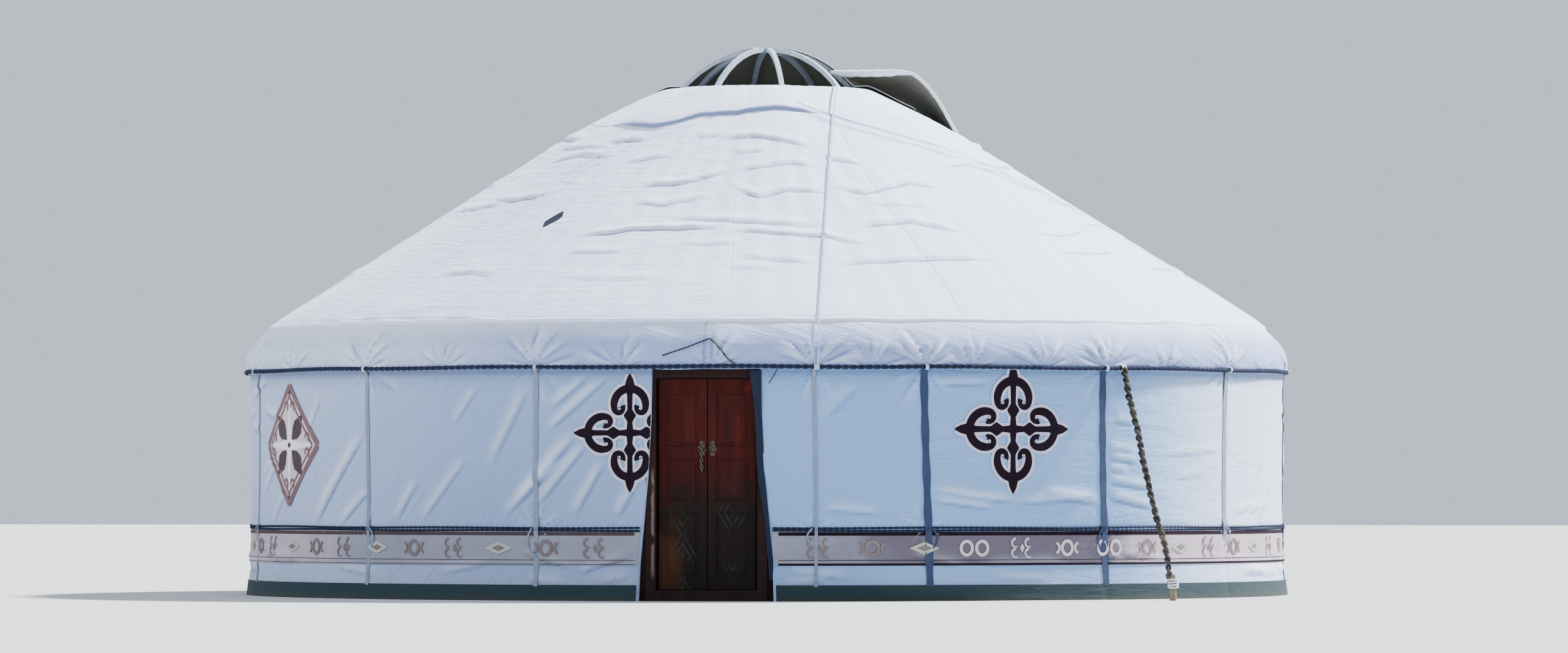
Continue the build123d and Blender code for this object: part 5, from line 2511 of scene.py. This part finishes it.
@dataclass
class Door:
    """Finishes of the door and its chain."""

    palette: Palette
    axis_y: float = -3.473
    leaf: float = 0.036
    chain: tuple = (-0.036, 1.010)
    links: int = 8

    def build(self) -> list[Piece]:
        """Dresses the door.

        Returns:
            The added pieces.
        """
        dress(self.palette, {"door_leaf": "door_paint", "door_pull": "door_iron", "door_": "frame_wood"})
        return [self._chain()]

    def _chain(self) -> Piece:
        """A short chain that hangs from the left leaf's pull.

        Returns:
            The piece.
        """
        face = self.axis_y - self.leaf / 2
        parts = []
        a = ring_of(12)
        x, z = self.chain
        for k in range(self.links):
            flat = k % 2
            link = np.stack([x + 0.009 * np.cos(a) * (1 - flat) + 0.003 * math.sin(k),
                             face - 0.014 + 0.009 * np.cos(a) * flat,
                             z - 0.022 * k + 0.015 * np.sin(a)], 1)
            parts.append(tube(link, 0.0034, 5, closed=True))
        return joined("lock_chain", parts, "door_iron", self.palette["lock_metal"], body="left_leaf")


@dataclass
class Studio:
    """Plain pale floor, soft lights and the camera."""

    azimuth: float = 6.4
    distance: float = 60.0
    eye: float = 0.80
    width: float = 10.9
    target: tuple = (0.12, 0, 1.86)
    sensor: float = 36.0
    floor: float = 90.0

    def build(self) -> None:
        """Makes the stage, lights and camera."""
        scene = bpy.context.scene
        mesh = bpy.data.meshes.new("floor")
        corners = [(x * self.floor, y * self.floor, 0) for x, y in ((-1, -1), (1, -1), (1, 1), (-1, 1))]
        mesh.from_pydata(corners, [], [(0, 1, 2, 3)])
        floor = bpy.data.objects.new("floor", mesh)
        scene.collection.objects.link(floor)
        floor.data.materials.append(Finish("floor_paper", (0.52, 0.52, 0.50), 0.95).build())
        world = bpy.data.worlds.new("sky")
        scene.world = world
        world.use_nodes = True
        back = world.node_tree.nodes["Background"]
        back.inputs[0].default_value = (0.72, 0.81, 0.96, 1)
        back.inputs[1].default_value = 1.0
        self._lamp("sun", (0.57, 0.43, 0.70), 15.5, (0.97, 0.98, 1.0), 6.0)
        self._lamp("fill", (-0.80, -0.30, 0.52), 1.15, (0.90, 0.95, 1.0), 20.0)
        camera = bpy.data.objects.new("camera", bpy.data.cameras.new("camera"))
        scene.collection.objects.link(camera)
        a = math.radians(self.azimuth)
        target = Vector(self.target)
        camera.location = Vector((self.distance * math.sin(a), -self.distance * math.cos(a), self.eye))
        camera.rotation_euler = (target - camera.location).to_track_quat("-Z", "Y").to_euler()
        camera.data.sensor_width = self.sensor
        camera.data.lens = self.sensor * self.distance / self.width
        camera.data.clip_end = 400
        scene.camera = camera

    @staticmethod
    def _lamp(name: str, way: tuple, strength: float, color: tuple, angle: float) -> None:
        """Adds one sun lamp.

        Args:
            name: its name.
            way: the direction towards it.
            strength: its strength.
            color: its colour.
            angle: its width in degrees, which softens the shadows.
        """
        data = bpy.data.lights.new(name, "SUN")
        data.energy, data.color, data.angle = strength, color, math.radians(angle)
        lamp = bpy.data.objects.new(name, data)
        lamp.location = Vector(way) * 20
        lamp.rotation_euler = (-Vector(way)).to_track_quat("-Z", "Y").to_euler()
        bpy.context.scene.collection.objects.link(lamp)


def main() -> None:
    """Builds every sub-assembly in order and reports each piece."""
    logging.basicConfig(level=logging.INFO, format="%(name)s: %(message)s")
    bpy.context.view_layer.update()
    palette = Palette()
    for assembly in (Frame(palette), RoofCloth(palette), WallCloth(palette), Ornaments(palette),
                     Ropes(palette), CrownCover(palette), Door(palette)):
        for piece in assembly.build():
            log.info("%s: %s, %d faces", type(assembly).__name__, piece.name, len(piece.data.polygons))
    Studio().build()


if __name__ == "__main__":
    main()
